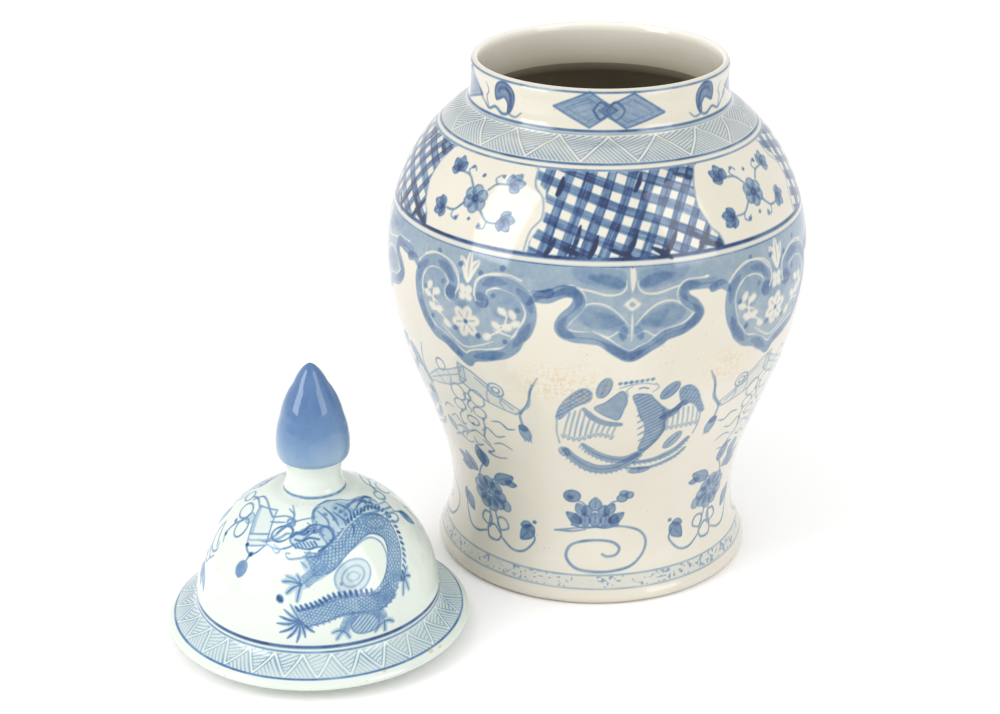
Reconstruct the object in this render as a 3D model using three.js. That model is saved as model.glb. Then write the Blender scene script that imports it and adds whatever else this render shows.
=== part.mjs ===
// Ginger jar: a lidded porcelain baluster jar, standing open with its lid beside it.
// Millimetres, +Z up. The origin is on the table, under the middle of the pair's bounding box.
// The jar is five thrown sections luted together, and the lid is five more.

import * as THREE from 'three';

// ---- Jar: driving sizes -------------------------------------------------------------------

const JAR_HEIGHT = 305;
const FOOT_RADIUS = 94.5;          // widest point of the flared foot
const FOOT_TOE_HEIGHT = 4;         // height of that widest point
const FOOT_TOE_INSET = 3;          // from there in to the edge of the ring that touches the table
const FOOT_CONTACT_WIDTH = 5;      // width of that unglazed ring
const WAIST_RADIUS = 85.8;
const WAIST_HEIGHT = 38;
const BELLY_RADIUS = 123;
const BELLY_HEIGHT = 190;
const NECK_RADIUS = 73.5;          // outside of the neck
const NECK_LENGTH = 24;            // from the shoulder to the top of the lip
const NECK_FLARE = 2.2;            // how much wider the neck is where it leaves the shoulder
const SHOULDER_SLOPE = 32;         // degrees below level where the shoulder meets the neck
const WALL = 6;
const RIM_WALL = 4.2;
const LIP_FLAT = 1.2;              // width of the flat on top of the lip
const LIP_DROP = 2;                // height over which the lip rounds off
const BASE_THICKNESS = 7;
const BASE_RECESS = 8;             // height of the underside of the base above the table

// ---- Lid: driving sizes -------------------------------------------------------------------

const FLANGE_OVERHANG = 12.2;      // how far the flange reaches past the outside of the neck
const FLANGE_WIDTH = 16.7;         // from the foot of the dome out to the flange's rim
const FLANGE_EDGE = 4.6;           // thickness of the flange at its rounded rim
const DOME_FOOT_HEIGHT = 16.4;     // that place above the flange's underside
const DOME_TOP_HEIGHT = 82.6;      // top of the dome above the flange's underside
const LID_WALL = 6;
const RING_HEIGHT = 7;             // how far the collar reaches below the flange
const RING_WALL = 4;
const RING_CLEARANCE = 3.8;        // between the collar and the mouth
const STEM_RADIUS = 17.2;
const STEM_WAIST_RADIUS = 15.6;
const STEM_HEIGHT = 17.3;
const BUD_RADIUS = 20.7;
const BUD_HEIGHT = 56;
const BUD_SHOULDER_HEIGHT = 8;     // height of the bud's widest point above its underside

// ---- Where the lid stands, and how it lifts -----------------------------------------------

const LID_BEARING = 215;           // degrees, from the jar's axis, counterclockwise from +X
const LID_GAP = 15.5;              // between the flange and the jar's foot

// ---- Making -------------------------------------------------------------------------------

const SEGMENTS = 40;               // facets round each turned piece
const CURVE_STEPS = 10;            // points along each long curve of an outline
const SHORT_STEPS = 4;             // points along each short curve
const JOINT_GAP = 0.3;             // left between two sections that are luted together

const rad = THREE.MathUtils.degToRad;

function vec(radius, height) {
  return new THREE.Vector2(radius, height);
}

// A cubic curve from start to end whose handles are the two middle points.
function curve(start, startHandle, endHandle, end, steps) {
  return new THREE.CubicBezierCurve(start, startHandle, endHandle, end).getPoints(steps);
}

// The same curve moved inwards by the wall, point by point along its own normal.
function inset(points, wall) {
  return points.map((point, i) => {
    const before = points[Math.max(i - 1, 0)];
    const after = points[Math.min(i + 1, points.length - 1)];
    const along = after.clone().sub(before).normalize();
    return vec(point.x - wall * along.y, point.y + wall * along.x);
  });
}

// Trims the end of a run of points that is level with the next section, to leave the joint gap.
function lower(points, drop) {
  const last = points[points.length - 1];
  return [...points.slice(0, -1), vec(last.x, last.y - drop)];
}

// A solid turned about +Z from an outline that starts and ends on the axis.
function turnedSolid(name, outline, material) {
  const geometry = new THREE.LatheGeometry(outline, SEGMENTS);
  geometry.rotateX(Math.PI / 2);
  geometry.rotateZ(Math.PI / 2);
  const mesh = new THREE.Mesh(geometry, material);
  mesh.name = name;
  return mesh;
}

// A ring or shell: the outline runs upwards on the outside, and is closed on itself.
function turned(name, outline, material) {
  return turnedSolid(name, [...outline, outline[0].clone()], material);
}

function glaze(colour, roughness) {
  return new THREE.MeshStandardMaterial({ color: colour, roughness, metalness: 0 });
}

const jarGlaze = () => glaze('#efe9dc', 0.18);
const lidGlaze = () => glaze('#eef4ee', 0.16);

// ---- Jar ----------------------------------------------------------------------------------

const neckBaseHeight = JAR_HEIGHT - NECK_LENGTH;
const neckBaseRadius = NECK_RADIUS + NECK_FLARE;
const waistBore = WAIST_RADIUS - WALL;
const contactRadius = FOOT_RADIUS - FOOT_TOE_INSET;
const mouthRadius = NECK_RADIUS - RIM_WALL;

// Flared ring that the jar stands on, up to the waist.
function footRing() {
  const spread = FOOT_RADIUS - WAIST_RADIUS;
  const rise = WAIST_HEIGHT - FOOT_TOE_HEIGHT;
  const flare = curve(
    vec(FOOT_RADIUS, FOOT_TOE_HEIGHT),
    vec(FOOT_RADIUS - 0.4 * spread, FOOT_TOE_HEIGHT + 0.3 * rise),
    vec(WAIST_RADIUS, WAIST_HEIGHT - 0.45 * rise),
    vec(WAIST_RADIUS, WAIST_HEIGHT),
    SHORT_STEPS + 3,
  );
  const outline = [
    vec(contactRadius - FOOT_CONTACT_WIDTH, 0),
    vec(contactRadius, 0),
    vec(FOOT_RADIUS - 0.3 * FOOT_TOE_INSET, 0.4 * FOOT_TOE_HEIGHT),
    ...lower(flare, JOINT_GAP / 2),
    vec(waistBore, WAIST_HEIGHT - JOINT_GAP / 2),
    vec(waistBore, BASE_RECESS),
  ];
  return turned('foot_ring', outline, jarGlaze());
}

// Floor of the jar, held inside the foot ring.
function baseDisc() {
  const radius = waistBore - JOINT_GAP;
  const outline = [
    vec(0, BASE_RECESS),
    vec(radius, BASE_RECESS),
    vec(radius, BASE_RECESS + BASE_THICKNESS),
    vec(0, BASE_RECESS + BASE_THICKNESS),
  ];
  return turnedSolid('base_disc', outline, jarGlaze());
}

// Waist to belly.
function lowerBody() {
  const rise = BELLY_HEIGHT - WAIST_HEIGHT;
  const foot = WAIST_HEIGHT + JOINT_GAP / 2;
  const outer = curve(
    vec(WAIST_RADIUS, foot),
    vec(WAIST_RADIUS, WAIST_HEIGHT + 0.33 * rise),
    vec(BELLY_RADIUS, BELLY_HEIGHT - 0.41 * rise),
    vec(BELLY_RADIUS, BELLY_HEIGHT - JOINT_GAP / 2),
    CURVE_STEPS,
  );
  const inner = inset(outer, WALL).reverse();
  inner[0] = vec(BELLY_RADIUS - WALL, BELLY_HEIGHT - JOINT_GAP / 2);
  inner[inner.length - 1] = vec(waistBore, foot);
  return turned('lower_body', [...outer, ...inner], jarGlaze());
}

// Belly to the foot of the neck: the shoulder.
function upperBody() {
  const rise = neckBaseHeight - BELLY_HEIGHT;
  const reach = BELLY_RADIUS - neckBaseRadius;
  const slope = rad(SHOULDER_SLOPE);
  const handle = 0.69 * reach;
  const outer = curve(
    vec(BELLY_RADIUS, BELLY_HEIGHT + JOINT_GAP / 2),
    vec(BELLY_RADIUS, BELLY_HEIGHT + 0.42 * rise),
    vec(neckBaseRadius + handle * Math.cos(slope), neckBaseHeight - handle * Math.sin(slope)),
    vec(neckBaseRadius, neckBaseHeight - JOINT_GAP / 2),
    CURVE_STEPS,
  );
  const inner = inset(outer, WALL).reverse();
  inner[inner.length - 1] = vec(BELLY_RADIUS - WALL, BELLY_HEIGHT + JOINT_GAP / 2);
  inner.unshift(vec(mouthRadius, neckBaseHeight - JOINT_GAP / 2));
  return turned('upper_body', [...outer, ...inner], jarGlaze());
}

// Short neck and rounded lip.
function neckCollar() {
  const start = neckBaseHeight + JOINT_GAP / 2;
  const lipMiddle = mouthRadius + RIM_WALL / 2;
  const outer = curve(
    vec(neckBaseRadius, start),
    vec(NECK_RADIUS, start + 0.15 * NECK_LENGTH),
    vec(NECK_RADIUS, JAR_HEIGHT - 0.6 * NECK_LENGTH),
    vec(NECK_RADIUS, JAR_HEIGHT - LIP_DROP),
    SHORT_STEPS + 1,
  );
  const outline = [
    vec(mouthRadius, start),
    ...outer,
    vec(NECK_RADIUS - 0.25 * (RIM_WALL - LIP_FLAT), JAR_HEIGHT - 0.3 * LIP_DROP),
    vec(lipMiddle + LIP_FLAT / 2, JAR_HEIGHT),
    vec(lipMiddle - LIP_FLAT / 2, JAR_HEIGHT),
    vec(mouthRadius + 0.25 * (RIM_WALL - LIP_FLAT), JAR_HEIGHT - 0.3 * LIP_DROP),
    vec(mouthRadius, JAR_HEIGHT - LIP_DROP),
  ];
  return turned('neck_collar', outline, jarGlaze());
}

// ---- Lid, measured from the table that its collar stands on --------------------------------

const seat = RING_HEIGHT;          // underside of the flange
const domeFoot = seat + DOME_FOOT_HEIGHT;
const domeTop = seat + DOME_TOP_HEIGHT;
const ringRadius = mouthRadius - RING_CLEARANCE;
const flangeRadius = NECK_RADIUS + FLANGE_OVERHANG;
const domeRadius = flangeRadius - FLANGE_WIDTH;
const domeBore = domeRadius - LID_WALL;

// Collar inside the flange, which reaches below it and keeps the lid centred in the mouth.
function locatingRing() {
  const top = domeFoot - JOINT_GAP / 2;
  const outline = [
    vec(ringRadius - RING_WALL, 0),
    vec(ringRadius, 0),
    vec(ringRadius, top),
    vec(ringRadius - RING_WALL, top),
  ];
  return turned('locating_ring', outline, lidGlaze());
}

// Sloping flange with a flat underside that rests on the jar's lip.
function lidFlange() {
  const bore = ringRadius + JOINT_GAP;
  const top = domeFoot - JOINT_GAP / 2;
  const edgeTop = seat + FLANGE_EDGE;
  const outline = [
    vec(bore, seat),
    vec(flangeRadius - 0.5 * FLANGE_EDGE, seat),
    vec(flangeRadius - 0.15 * FLANGE_EDGE, seat + 0.2 * FLANGE_EDGE),
    vec(flangeRadius, seat + 0.5 * FLANGE_EDGE),
    vec(flangeRadius - 0.15 * FLANGE_EDGE, seat + 0.8 * FLANGE_EDGE),
    vec(flangeRadius - 0.5 * FLANGE_EDGE, edgeTop + 0.1 * FLANGE_EDGE),
    vec(domeRadius, top),
    vec(bore, top),
  ];
  return turned('lid_flange', outline, lidGlaze());
}

// Dome, closed at the top, where the finial sits.
function lidDome() {
  const rise = domeTop - domeFoot;
  const top = domeTop - JOINT_GAP / 2;
  const outer = curve(
    vec(domeRadius, domeFoot + JOINT_GAP / 2),
    vec(domeRadius - 1, domeFoot + 0.5 * rise),
    vec(STEM_RADIUS + 0.55 * (domeRadius - STEM_RADIUS), domeTop - 0.1 * rise),
    vec(STEM_RADIUS, top),
    CURVE_STEPS,
  );
  const inner = inset(outer, LID_WALL).reverse();
  inner[inner.length - 1] = vec(domeBore, domeFoot + JOINT_GAP / 2);
  const outline = [...outer, vec(0, top), vec(0, top - LID_WALL), ...inner.slice(1)];
  return turned('lid_dome', outline, lidGlaze());
}

// Turned stem under the bud.
function finialStem() {
  const bottom = domeTop + JOINT_GAP / 2;
  const top = domeTop + STEM_HEIGHT - JOINT_GAP / 2;
  const side = curve(
    vec(STEM_RADIUS, bottom),
    vec(STEM_WAIST_RADIUS - 1, bottom + 0.4 * STEM_HEIGHT),
    vec(STEM_WAIST_RADIUS - 1, top - 0.4 * STEM_HEIGHT),
    vec(STEM_RADIUS, top),
    SHORT_STEPS + 2,
  );
  return turnedSolid('finial_stem', [vec(0, bottom), ...side, vec(0, top)], lidGlaze());
}

// Pointed lotus-bud knob.
function finialBud() {
  const bottom = domeTop + STEM_HEIGHT + JOINT_GAP / 2;
  const top = bottom + BUD_HEIGHT;
  const shoulder = vec(BUD_RADIUS, bottom + BUD_SHOULDER_HEIGHT);
  const underside = curve(
    vec(STEM_RADIUS, bottom),
    vec(BUD_RADIUS - 0.8, bottom),
    vec(BUD_RADIUS, bottom + 0.4 * BUD_SHOULDER_HEIGHT),
    shoulder,
    SHORT_STEPS,
  );
  const side = curve(
    shoulder,
    vec(BUD_RADIUS, shoulder.y + 0.36 * BUD_HEIGHT),
    vec(0.42 * BUD_RADIUS, top - 0.2 * BUD_HEIGHT),
    vec(0, top),
    CURVE_STEPS,
  );
  const outline = [vec(0, bottom), ...underside, ...side.slice(1)];
  return turnedSolid('finial_bud', outline, glaze('#6c9cc6', 0.14));
}

// ---- Assembly -----------------------------------------------------------------------------

const jar = new THREE.Group();
jar.add(footRing(), baseDisc(), lowerBody(), upperBody(), neckCollar());

const lid = new THREE.Group();
lid.add(locatingRing(), lidFlange(), lidDome(), finialStem(), finialBud());

// The lid stands at its bearing, clear of the widest part of the jar's foot.
const lidDistance = FOOT_RADIUS + LID_GAP + flangeRadius;
const lidX = lidDistance * Math.cos(rad(LID_BEARING));
const lidY = lidDistance * Math.sin(rad(LID_BEARING));

// The pair is moved so that the middle of its bounding box is over the origin.
function middle(low, high) {
  return (low + high) / 2;
}

const middleX = middle(
  Math.min(-BELLY_RADIUS, lidX - flangeRadius),
  Math.max(BELLY_RADIUS, lidX + flangeRadius),
);
const middleY = middle(
  Math.min(-BELLY_RADIUS, lidY - flangeRadius),
  Math.max(BELLY_RADIUS, lidY + flangeRadius),
);
jar.position.set(-middleX, -middleY, 0);
lid.position.set(lidX - middleX, lidY - middleY, 0);

const group = new THREE.Group();
group.add(jar, lid);

export default group;
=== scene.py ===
"""Blue and white porcelain ginger jar with its lid standing beside it: looks, light and camera."""
import math

import bpy
import numpy as np
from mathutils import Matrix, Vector


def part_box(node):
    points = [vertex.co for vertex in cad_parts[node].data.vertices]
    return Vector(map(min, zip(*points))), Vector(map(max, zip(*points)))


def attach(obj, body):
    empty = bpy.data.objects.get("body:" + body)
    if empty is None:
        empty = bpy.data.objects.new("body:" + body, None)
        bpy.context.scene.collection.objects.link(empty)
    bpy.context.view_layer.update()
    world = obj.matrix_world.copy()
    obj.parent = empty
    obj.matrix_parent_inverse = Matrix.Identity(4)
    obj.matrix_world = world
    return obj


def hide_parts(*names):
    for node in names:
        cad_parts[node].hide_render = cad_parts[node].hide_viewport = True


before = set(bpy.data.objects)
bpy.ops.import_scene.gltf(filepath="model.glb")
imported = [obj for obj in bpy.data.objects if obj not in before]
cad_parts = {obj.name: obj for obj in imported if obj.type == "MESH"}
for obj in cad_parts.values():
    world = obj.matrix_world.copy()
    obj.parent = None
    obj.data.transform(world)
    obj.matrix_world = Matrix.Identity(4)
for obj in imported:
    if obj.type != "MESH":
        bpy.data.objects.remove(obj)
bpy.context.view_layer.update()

MM = 0.001
TINY = 1e-6
FULL_TURN = 2 * math.pi


# ---------------------------------------------------------------- camera
def axis_of(node):
    """The upright axis of a turned node, as x and y in metres."""
    lo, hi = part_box(node)
    return np.array([(lo.x + hi.x) / 2, (lo.y + hi.y) / 2])


JAR_AXIS = axis_of("lower_body")
LID_AXIS = axis_of("lid_flange")
CAMERA_FROM_JAR_AXIS = (-0.0567, -1.1391)   # metres, sideways and towards the viewer
CAMERA_HEIGHT = 0.6162
CAMERA_PITCH = 23.652                       # degrees below the horizon
LENS, SENSOR = 74.21, 36.0

camera_data = bpy.data.cameras.new("camera")
camera_data.lens, camera_data.sensor_width = LENS, SENSOR
camera = bpy.data.objects.new("camera", camera_data)
camera.location = (*(JAR_AXIS + CAMERA_FROM_JAR_AXIS), CAMERA_HEIGHT)
camera.rotation_euler = (math.radians(90 - CAMERA_PITCH), 0, 0)
bpy.context.scene.collection.objects.link(camera)
bpy.context.scene.camera = camera

# ---------------------------------------------------------------- sizes of the fine meshes
ROW = 0.6          # mm between rings on the painted outside
INNER_ROW = 3.0    # mm between rings on the inside
FINE_STEP = 0.0625                   # mm between the samples that a profile is measured by
JAR_COLUMNS = 1280
LID_COLUMNS = 900
FLOOR_COLUMNS, COLLAR_COLUMNS = 320, 480
FLOOR_RINGS = 12
SIDEWAYS = 0.05                      # a face counts for a side when it leans this far towards it
ON_AXIS = 0.05                       # mm, a ring with less radius than this is a pole
WAVER = 0.22                         # mm that a hand-turned wall wanders, always inwards
SHARP_TURN = math.radians(38)
TIP_FROM = 8.5                       # mm, the radius where the bud starts to round in to its tip
TIP_POWER = 0.62                     # 0.5 is a ball's end and 1 a cone's
BUD_SWELL = 0.25                     # share added to the radius at the bud's tip
BUD_REACH = 30                       # mm down from the tip over which that fades out
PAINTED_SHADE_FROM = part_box("neck_collar")[1].z / MM - 14      # below this the jar's inside gets painted shade
PAINTED_SHADE_DEPTH = 14                       # mm further down the painted shade is darkest
COLLAR_ROUND = 0.9                   # mm, the rounding of the locating ring's lower edges
COLLAR_BEVEL = 0.25                  # mm, the middle point of that rounding
COLLAR_STEP = 3                      # mm up from the lower edge, where its glaze is whole
MAP_GAP = 0.004                      # share of the flat map kept clear round a strip


# ---------------------------------------------------------------- profiles read from the CAD nodes
def read(items, key, width, kind=float):
    """One property of all the items of a mesh, as rows of an array."""
    values = np.zeros(len(items) * width, kind)
    items.foreach_get(key, values)
    return values.reshape(-1, width)


def unit(rows):
    """Rows of an array, each made one unit long."""
    return rows / np.maximum(np.linalg.norm(rows, axis=1, keepdims=True), TINY)


def chain(node, axis, side):
    """(r, z) in mm up one side of a turned node: side 1 is the outside and -1 the inside."""
    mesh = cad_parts[node].data
    mesh.calc_loop_triangles()
    co = read(mesh.vertices, "co", 3) / MM
    tri = read(mesh.loop_triangles, "vertices", 3, int)
    a, b, c = co[tri[:, 0]], co[tri[:, 1]], co[tri[:, 2]]
    normal = unit(np.cross(b - a, c - a))
    out = unit((a + b + c)[:, :2] / 3 - axis / MM)
    facing = (normal[:, :2] * out).sum(1) * side
    pick = np.unique(tri[facing > SIDEWAYS])
    r = np.hypot(*(co[pick, :2] - axis / MM).T)
    pts = sorted({(round(float(z), 2), round(float(q), 2)) for q, z in zip(r, co[pick, 2])})
    return [(q, z) for z, q in pts]


def blunt_tip(points, start, power):
    """Points of an outline whose sharp end on the axis is made round above the radius start."""
    kept = [q for q in points if q[1] < points[-3][1] - 1 or q[0] > start]
    r0, z0 = kept[-1]
    top = points[-1][1]
    share = np.array([0.22, 0.42, 0.60, 0.75, 0.87, 0.95, 0.99])
    return kept + [(r0 * (1 - k) ** power, z0 + (top - z0) * k) for k in share] + [(0.0, top)]


def filled_out(points):
    """The bud's outline with its upper part a little fuller than the straight-sided CAD."""
    top = points[-1][1]
    return [(r * (1 + BUD_SWELL * min(1.0, max(0.0, 1 - (top - z) / BUD_REACH))), z) for r, z in points]


def smooth_profile(points, step):
    """A cubic through the points, resampled at even steps of arc length: r, z, s."""
    p = np.array(points, float)
    h = np.maximum(np.hypot(*np.diff(p, axis=0).T), TINY)
    t = np.concatenate([[0], np.cumsum(h)])
    slope = np.diff(p, axis=0) / h[:, None]
    m = np.empty_like(p)
    m[0], m[-1] = slope[0], slope[-1]
    m[1:-1] = (slope[:-1] * h[1:, None] + slope[1:] * h[:-1, None]) / (h[1:] + h[:-1])[:, None]
    fine = np.arange(0, t[-1], FINE_STEP)
    i = np.clip(np.searchsorted(t, fine, "right") - 1, 0, len(h) - 1)
    u = ((fine - t[i]) / h[i])[:, None]
    g = h[i][:, None]
    q = ((2*u**3 - 3*u**2 + 1) * p[i] + (u**3 - 2*u**2 + u) * g * m[i]
         + (-2*u**3 + 3*u**2) * p[i + 1] + (u**3 - u**2) * g * m[i + 1])
    q = np.vstack([q, p[-1]])
    s = np.concatenate([[0], np.cumsum(np.hypot(*np.diff(q, axis=0).T))])
    even = np.linspace(0, s[-1], int(round(s[-1] / step)) + 1)
    return np.interp(even, s, q[:, 0]), np.interp(even, s, q[:, 1]), even


# ---------------------------------------------------------------- painting on the turned surface
NOISE_CELLS = 128        # cells of a random table before it repeats
SOFT_EDGE = 0.35         # mm either side of a stroke's edge over which its cobalt fades
PEN_EDGE = 0.34    # the same for strokes of the pen
AREA_MARGIN = 1.2        # mm kept round a stroke or a shape
CURVE_STEP, SHAPE_STEP = 0.9, 1.2    # mm between points of a stroke and of a closed shape
RING_WOBBLE = 0.25       # mm that a ring wanders up and down
POOLING = 0.12           # how far a wash is darker where it pools and paler elsewhere
FINE_LINE = 0.8          # mm, the outline of a petal or a leaf


def value_noise(x, y, seed):
    """Smooth random values from 0 to 1 on a plane, one lump per unit."""
    table = np.random.default_rng(seed).random((NOISE_CELLS, NOISE_CELLS))
    i, j = np.floor(x).astype(int), np.floor(y).astype(int)
    u, v = x - i, y - j
    u, v = u * u * (3 - 2 * u), v * v * (3 - 2 * v)
    i0, i1, j0, j1 = (k % NOISE_CELLS for k in (i, i + 1, j, j + 1))
    low = table[i0, j0] * (1 - u) + table[i1, j0] * u
    high = table[i0, j1] * (1 - u) + table[i1, j1] * u
    return low * (1 - v) + high * v


def stroke_mask(half, distance, soft=SOFT_EDGE):
    """1 within half a width of a stroke's middle and 0 beyond it, with a soft edge between."""
    return np.clip((half + soft - distance) / (2 * soft), 0, 1)


def curve(points, step=1.0, closed=False):
    """A smooth line through a few points, as many closely spaced points."""
    p = np.array(points, float)
    if len(p) == 2:
        n = max(2, int(np.hypot(*(p[1] - p[0])) / step) + 1)
        return np.linspace(p[0], p[1], n + 1)
    before, after = (p[-1], p[:2]) if closed else (2*p[0] - p[1], 2*p[-1] - p[-2])
    ring = np.vstack([before, p, after])
    out = []
    for a, b, c, d in zip(ring, ring[1:], ring[2:], ring[3:]):
        n = max(2, int(np.hypot(*(c - b)) / step) + 1)
        t = np.linspace(0, 1, n, endpoint=False)[:, None]
        out.append(0.5 * (2*b + (c - a)*t + (2*a - 5*b + 4*c - d)*t**2 + (3*b - a - 3*c + d)*t**3))
    return np.vstack(out + [ring[-2][None]])


def stations(points):
    """Each point but the last, with the step to the next and the unit directions along and across."""
    for a, b in zip(points[:-1], points[1:]):
        along = (b - a) / max(np.hypot(*(b - a)), TINY)
        yield a, b - a, along, np.array([-along[1], along[0]])


class Canvas:
    """Cobalt laid on a turned surface, one value for each vertex of its fine mesh."""

    def __init__(self, r, z, s, columns, facing):
        self.r, self.z, self.s, self.n, self.facing = r, z, s, columns, facing
        self.ink = np.zeros((len(s), columns))
        self.ochre = np.zeros((len(s), columns))
        self.turn = FULL_TURN / columns
        self.angle = np.arange(columns) * self.turn

    def rows(self, low, high):
        return slice(*np.searchsorted(self.s, (low, high)))

    def band(self, low, high):
        """Rows and flat coordinates (mm round from the front, mm up) of a whole band."""
        rows = self.rows(low, high)
        angle = (self.angle - self.facing + math.pi) % FULL_TURN - math.pi
        return rows, angle[None, :] * self.r[rows][:, None], self.s[rows][:, None]

    def darken(self, rows, dark):
        self.ink[rows] = np.maximum(self.ink[rows], dark)

    def ring(self, s, width, dark, seed):
        """A line drawn round with the pot turning, its weight varying slightly."""
        rows = self.rows(s - 3 * width - 1, s + 3 * width + 1)
        drift = value_noise(self.angle * 1.6, seed, 40 + seed) - 0.5
        weight = 0.82 + 0.36 * value_noise(self.angle * 9, seed, 90 + seed)
        distance = np.abs(self.s[rows][:, None] - s - RING_WOBBLE * drift[None, :])
        self.darken(rows, dark * (stroke_mask(width / 2, distance) * weight[None, :]))


class Pen:
    """Draws in mm about a point of the surface, x to the right and y up.
    dark is the strength of the cobalt from 0 to 1, and outline is the same for a shape's edge."""

    def __init__(self, canvas, bearing, s0, mirror=False, seed=1, weight=1.0):
        self.canvas, self.s0, self.side, self.weight = canvas, s0, -1 if mirror else 1, weight
        self.centre = canvas.facing + math.radians(bearing)
        self.random = np.random.default_rng(seed)

    def patch(self, pts, margin):
        """The cells of the canvas round some points, and their x and y."""
        c = self.canvas
        x = pts[:, 0] * self.side
        rows = c.rows(self.s0 + pts[:, 1].min() - margin, self.s0 + pts[:, 1].max() + margin)
        if rows.stop <= rows.start:
            return None
        r = c.r[rows]
        low, high = x.min() - margin, x.max() + margin
        first = self.centre + min(low / r.min(), low / r.max())
        last = self.centre + max(high / r.min(), high / r.max())
        cols = np.arange(math.floor(first / c.turn), math.ceil(last / c.turn) + 1)
        X = (cols * c.turn - self.centre)[None, :] * r[:, None] * self.side
        Y = np.broadcast_to((c.s[rows] - self.s0)[:, None], X.shape)
        return np.ix_(np.arange(rows.start, rows.stop), cols % c.n), X, Y

    def lay(self, where, mask, dark, wash=False, white=False):
        """Lays cobalt on some cells: over what is there, as a wash that adds to it, or wiped off."""
        ink, dark = self.canvas.ink[where], dark * self.weight
        if white:
            ink = ink * (1 - mask * dark)
        elif wash:
            ink = 1 - (1 - ink) * (1 - dark * mask)
        else:
            ink = np.maximum(ink, ink * (1 - mask) + dark * mask)
        self.canvas.ink[where] = ink

    def stain(self, where, strength):
        """Stains some cells with ochre."""
        self.canvas.ochre[where] = np.maximum(self.canvas.ochre[where], strength)

    def lumps(self, length, scale, seed):
        """Slow random changes along a stroke."""
        return value_noise(length / scale, self.random.random() * 90, seed)

    def line(self, points, width=1.2, dark=0.6, ends=(1.0, 1.0), wash=False, white=False, smooth=True):
        """A brush stroke. ends are its widths at the two ends, as shares of the full width."""
        pts = np.array(points, float)
        if smooth:
            pts = curve(pts, CURVE_STEP)
        length = np.concatenate([[0], np.cumsum(np.hypot(*np.diff(pts, axis=0).T))])
        start, end = ends
        shape = np.interp(length / max(length[-1], TINY), (0, 0.18, 0.5, 0.82, 1),
                          (start, (start + 2) / 3, 1, (end + 2) / 3, end))
        half = width / 2 * shape * (0.86 + 0.28 * self.lumps(length, 6, 7))
        tone = np.ones(len(pts)) if wash or white else 0.80 + 0.34 * self.lumps(length, 8, 8)
        got = self.patch(pts, half.max() + AREA_MARGIN)
        if got is None:
            return
        where, X, Y = got
        mask = np.zeros(X.shape)
        for a, b, ha, hb, strength in zip(pts, pts[1:], half, half[1:], tone):
            reach = max(ha, hb) + PEN_EDGE
            near = np.flatnonzero((Y[:, 0] >= min(a[1], b[1]) - reach) & (Y[:, 0] <= max(a[1], b[1]) + reach))
            if not len(near):
                continue
            rows = slice(near[0], near[-1] + 1)
            middle = X[min((rows.start + rows.stop) // 2, len(X) - 1)]
            low, high = min(a[0], b[0]) - reach - 1.5, max(a[0], b[0]) + reach + 1.5
            close = np.flatnonzero((middle >= low) & (middle <= high))
            if not len(close):
                continue
            cell = rows, slice(close[0], close[-1] + 1)
            x, y, d = X[cell] - a[0], Y[cell] - a[1], b - a
            u = np.clip((x * d[0] + y * d[1]) / max(d @ d, TINY), 0, 1)
            distance = np.hypot(x - u * d[0], y - u * d[1])
            value = stroke_mask(ha + (hb - ha) * u, distance, PEN_EDGE) * strength
            mask[cell] = np.maximum(mask[cell], value)
        self.lay(where, mask, dark, wash, white)

    def area(self, points, smooth=True):
        """The cells round a closed shape, their x and y, how far each is inside, and the outline."""
        pts = curve(points, SHAPE_STEP, closed=True) if smooth else np.array(points, float)
        got = self.patch(pts, AREA_MARGIN)
        if got is None:
            return None
        where, X, Y = got
        inside = np.zeros(X.shape, bool)
        for a, b in zip(pts, np.roll(pts, -1, 0)):
            if a[1] == b[1]:
                continue
            crosses = (a[1] > Y) != (b[1] > Y)
            inside ^= crosses & (X < (b[0] - a[0]) * (Y - a[1]) / (b[1] - a[1]) + a[0])
        m = np.pad(inside.astype(float), 1, mode="edge")
        m = (m[:-2] + 2 * m[1:-1] + m[2:]) / 4
        m = (m[:, :-2] + 2 * m[:, 1:-1] + m[:, 2:]) / 4
        return where, X, Y, m, pts

    def fill(self, points, dark=0.35, outline=0.0, width=0.9, smooth=True, white=False, flat=False):
        """A wash inside a closed shape, a little darker where it pools, with an optional outline."""
        got = self.area(points, smooth)
        if got is None:
            return
        where, X, Y, m, pts = got
        if not white:
            mottle = value_noise(X / 5 + 31, Y / 5 + 17, 5) * 0.6 + value_noise(X / 1.8, Y / 1.8, 6) * 0.4
            m = m * (1 - POOLING + 2 * POOLING * mottle)
        self.lay(where, m, dark, wash=not (white or flat), white=white)
        if outline:
            self.line(np.vstack([pts, pts[:1]]), width, outline, smooth=False)

    def hatch(self, points, angle, pitch, width, dark, smooth=True):
        """Parallel strokes inside a closed shape."""
        got = self.area(points, smooth)
        if got is None:
            return
        where, X, Y, m, _ = got
        a = math.radians(angle)
        across = (-X * math.sin(a) + Y * math.cos(a)) / pitch + 0.12 * value_noise(X / 4, Y / 4, 3)
        distance = np.abs(across - np.round(across)) * pitch
        self.lay(where, m * stroke_mask(width / 2, distance, 0.3), dark)

    def oval(self, x, y, w, h, tilt=0, dark=0.4, outline=0.0, width=FINE_LINE, white=False):
        """A filled oval, or only its outline when dark is 0."""
        t = np.linspace(0, FULL_TURN, 14, endpoint=False)
        a = math.radians(tilt)
        px, py = np.cos(t) * w / 2, np.sin(t) * h / 2
        pts = np.stack([x + px * math.cos(a) - py * math.sin(a), y + px * math.sin(a) + py * math.cos(a)], 1)
        if dark:
            self.fill(pts, dark, outline, width, white=white)
        else:
            self.line(np.vstack([pts, pts[:1]]), width, outline)

    def ring(self, x, y, w, h, tilt=0, width=0.9, dark=0.5):
        self.oval(x, y, w, h, tilt, 0, dark, width)

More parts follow.
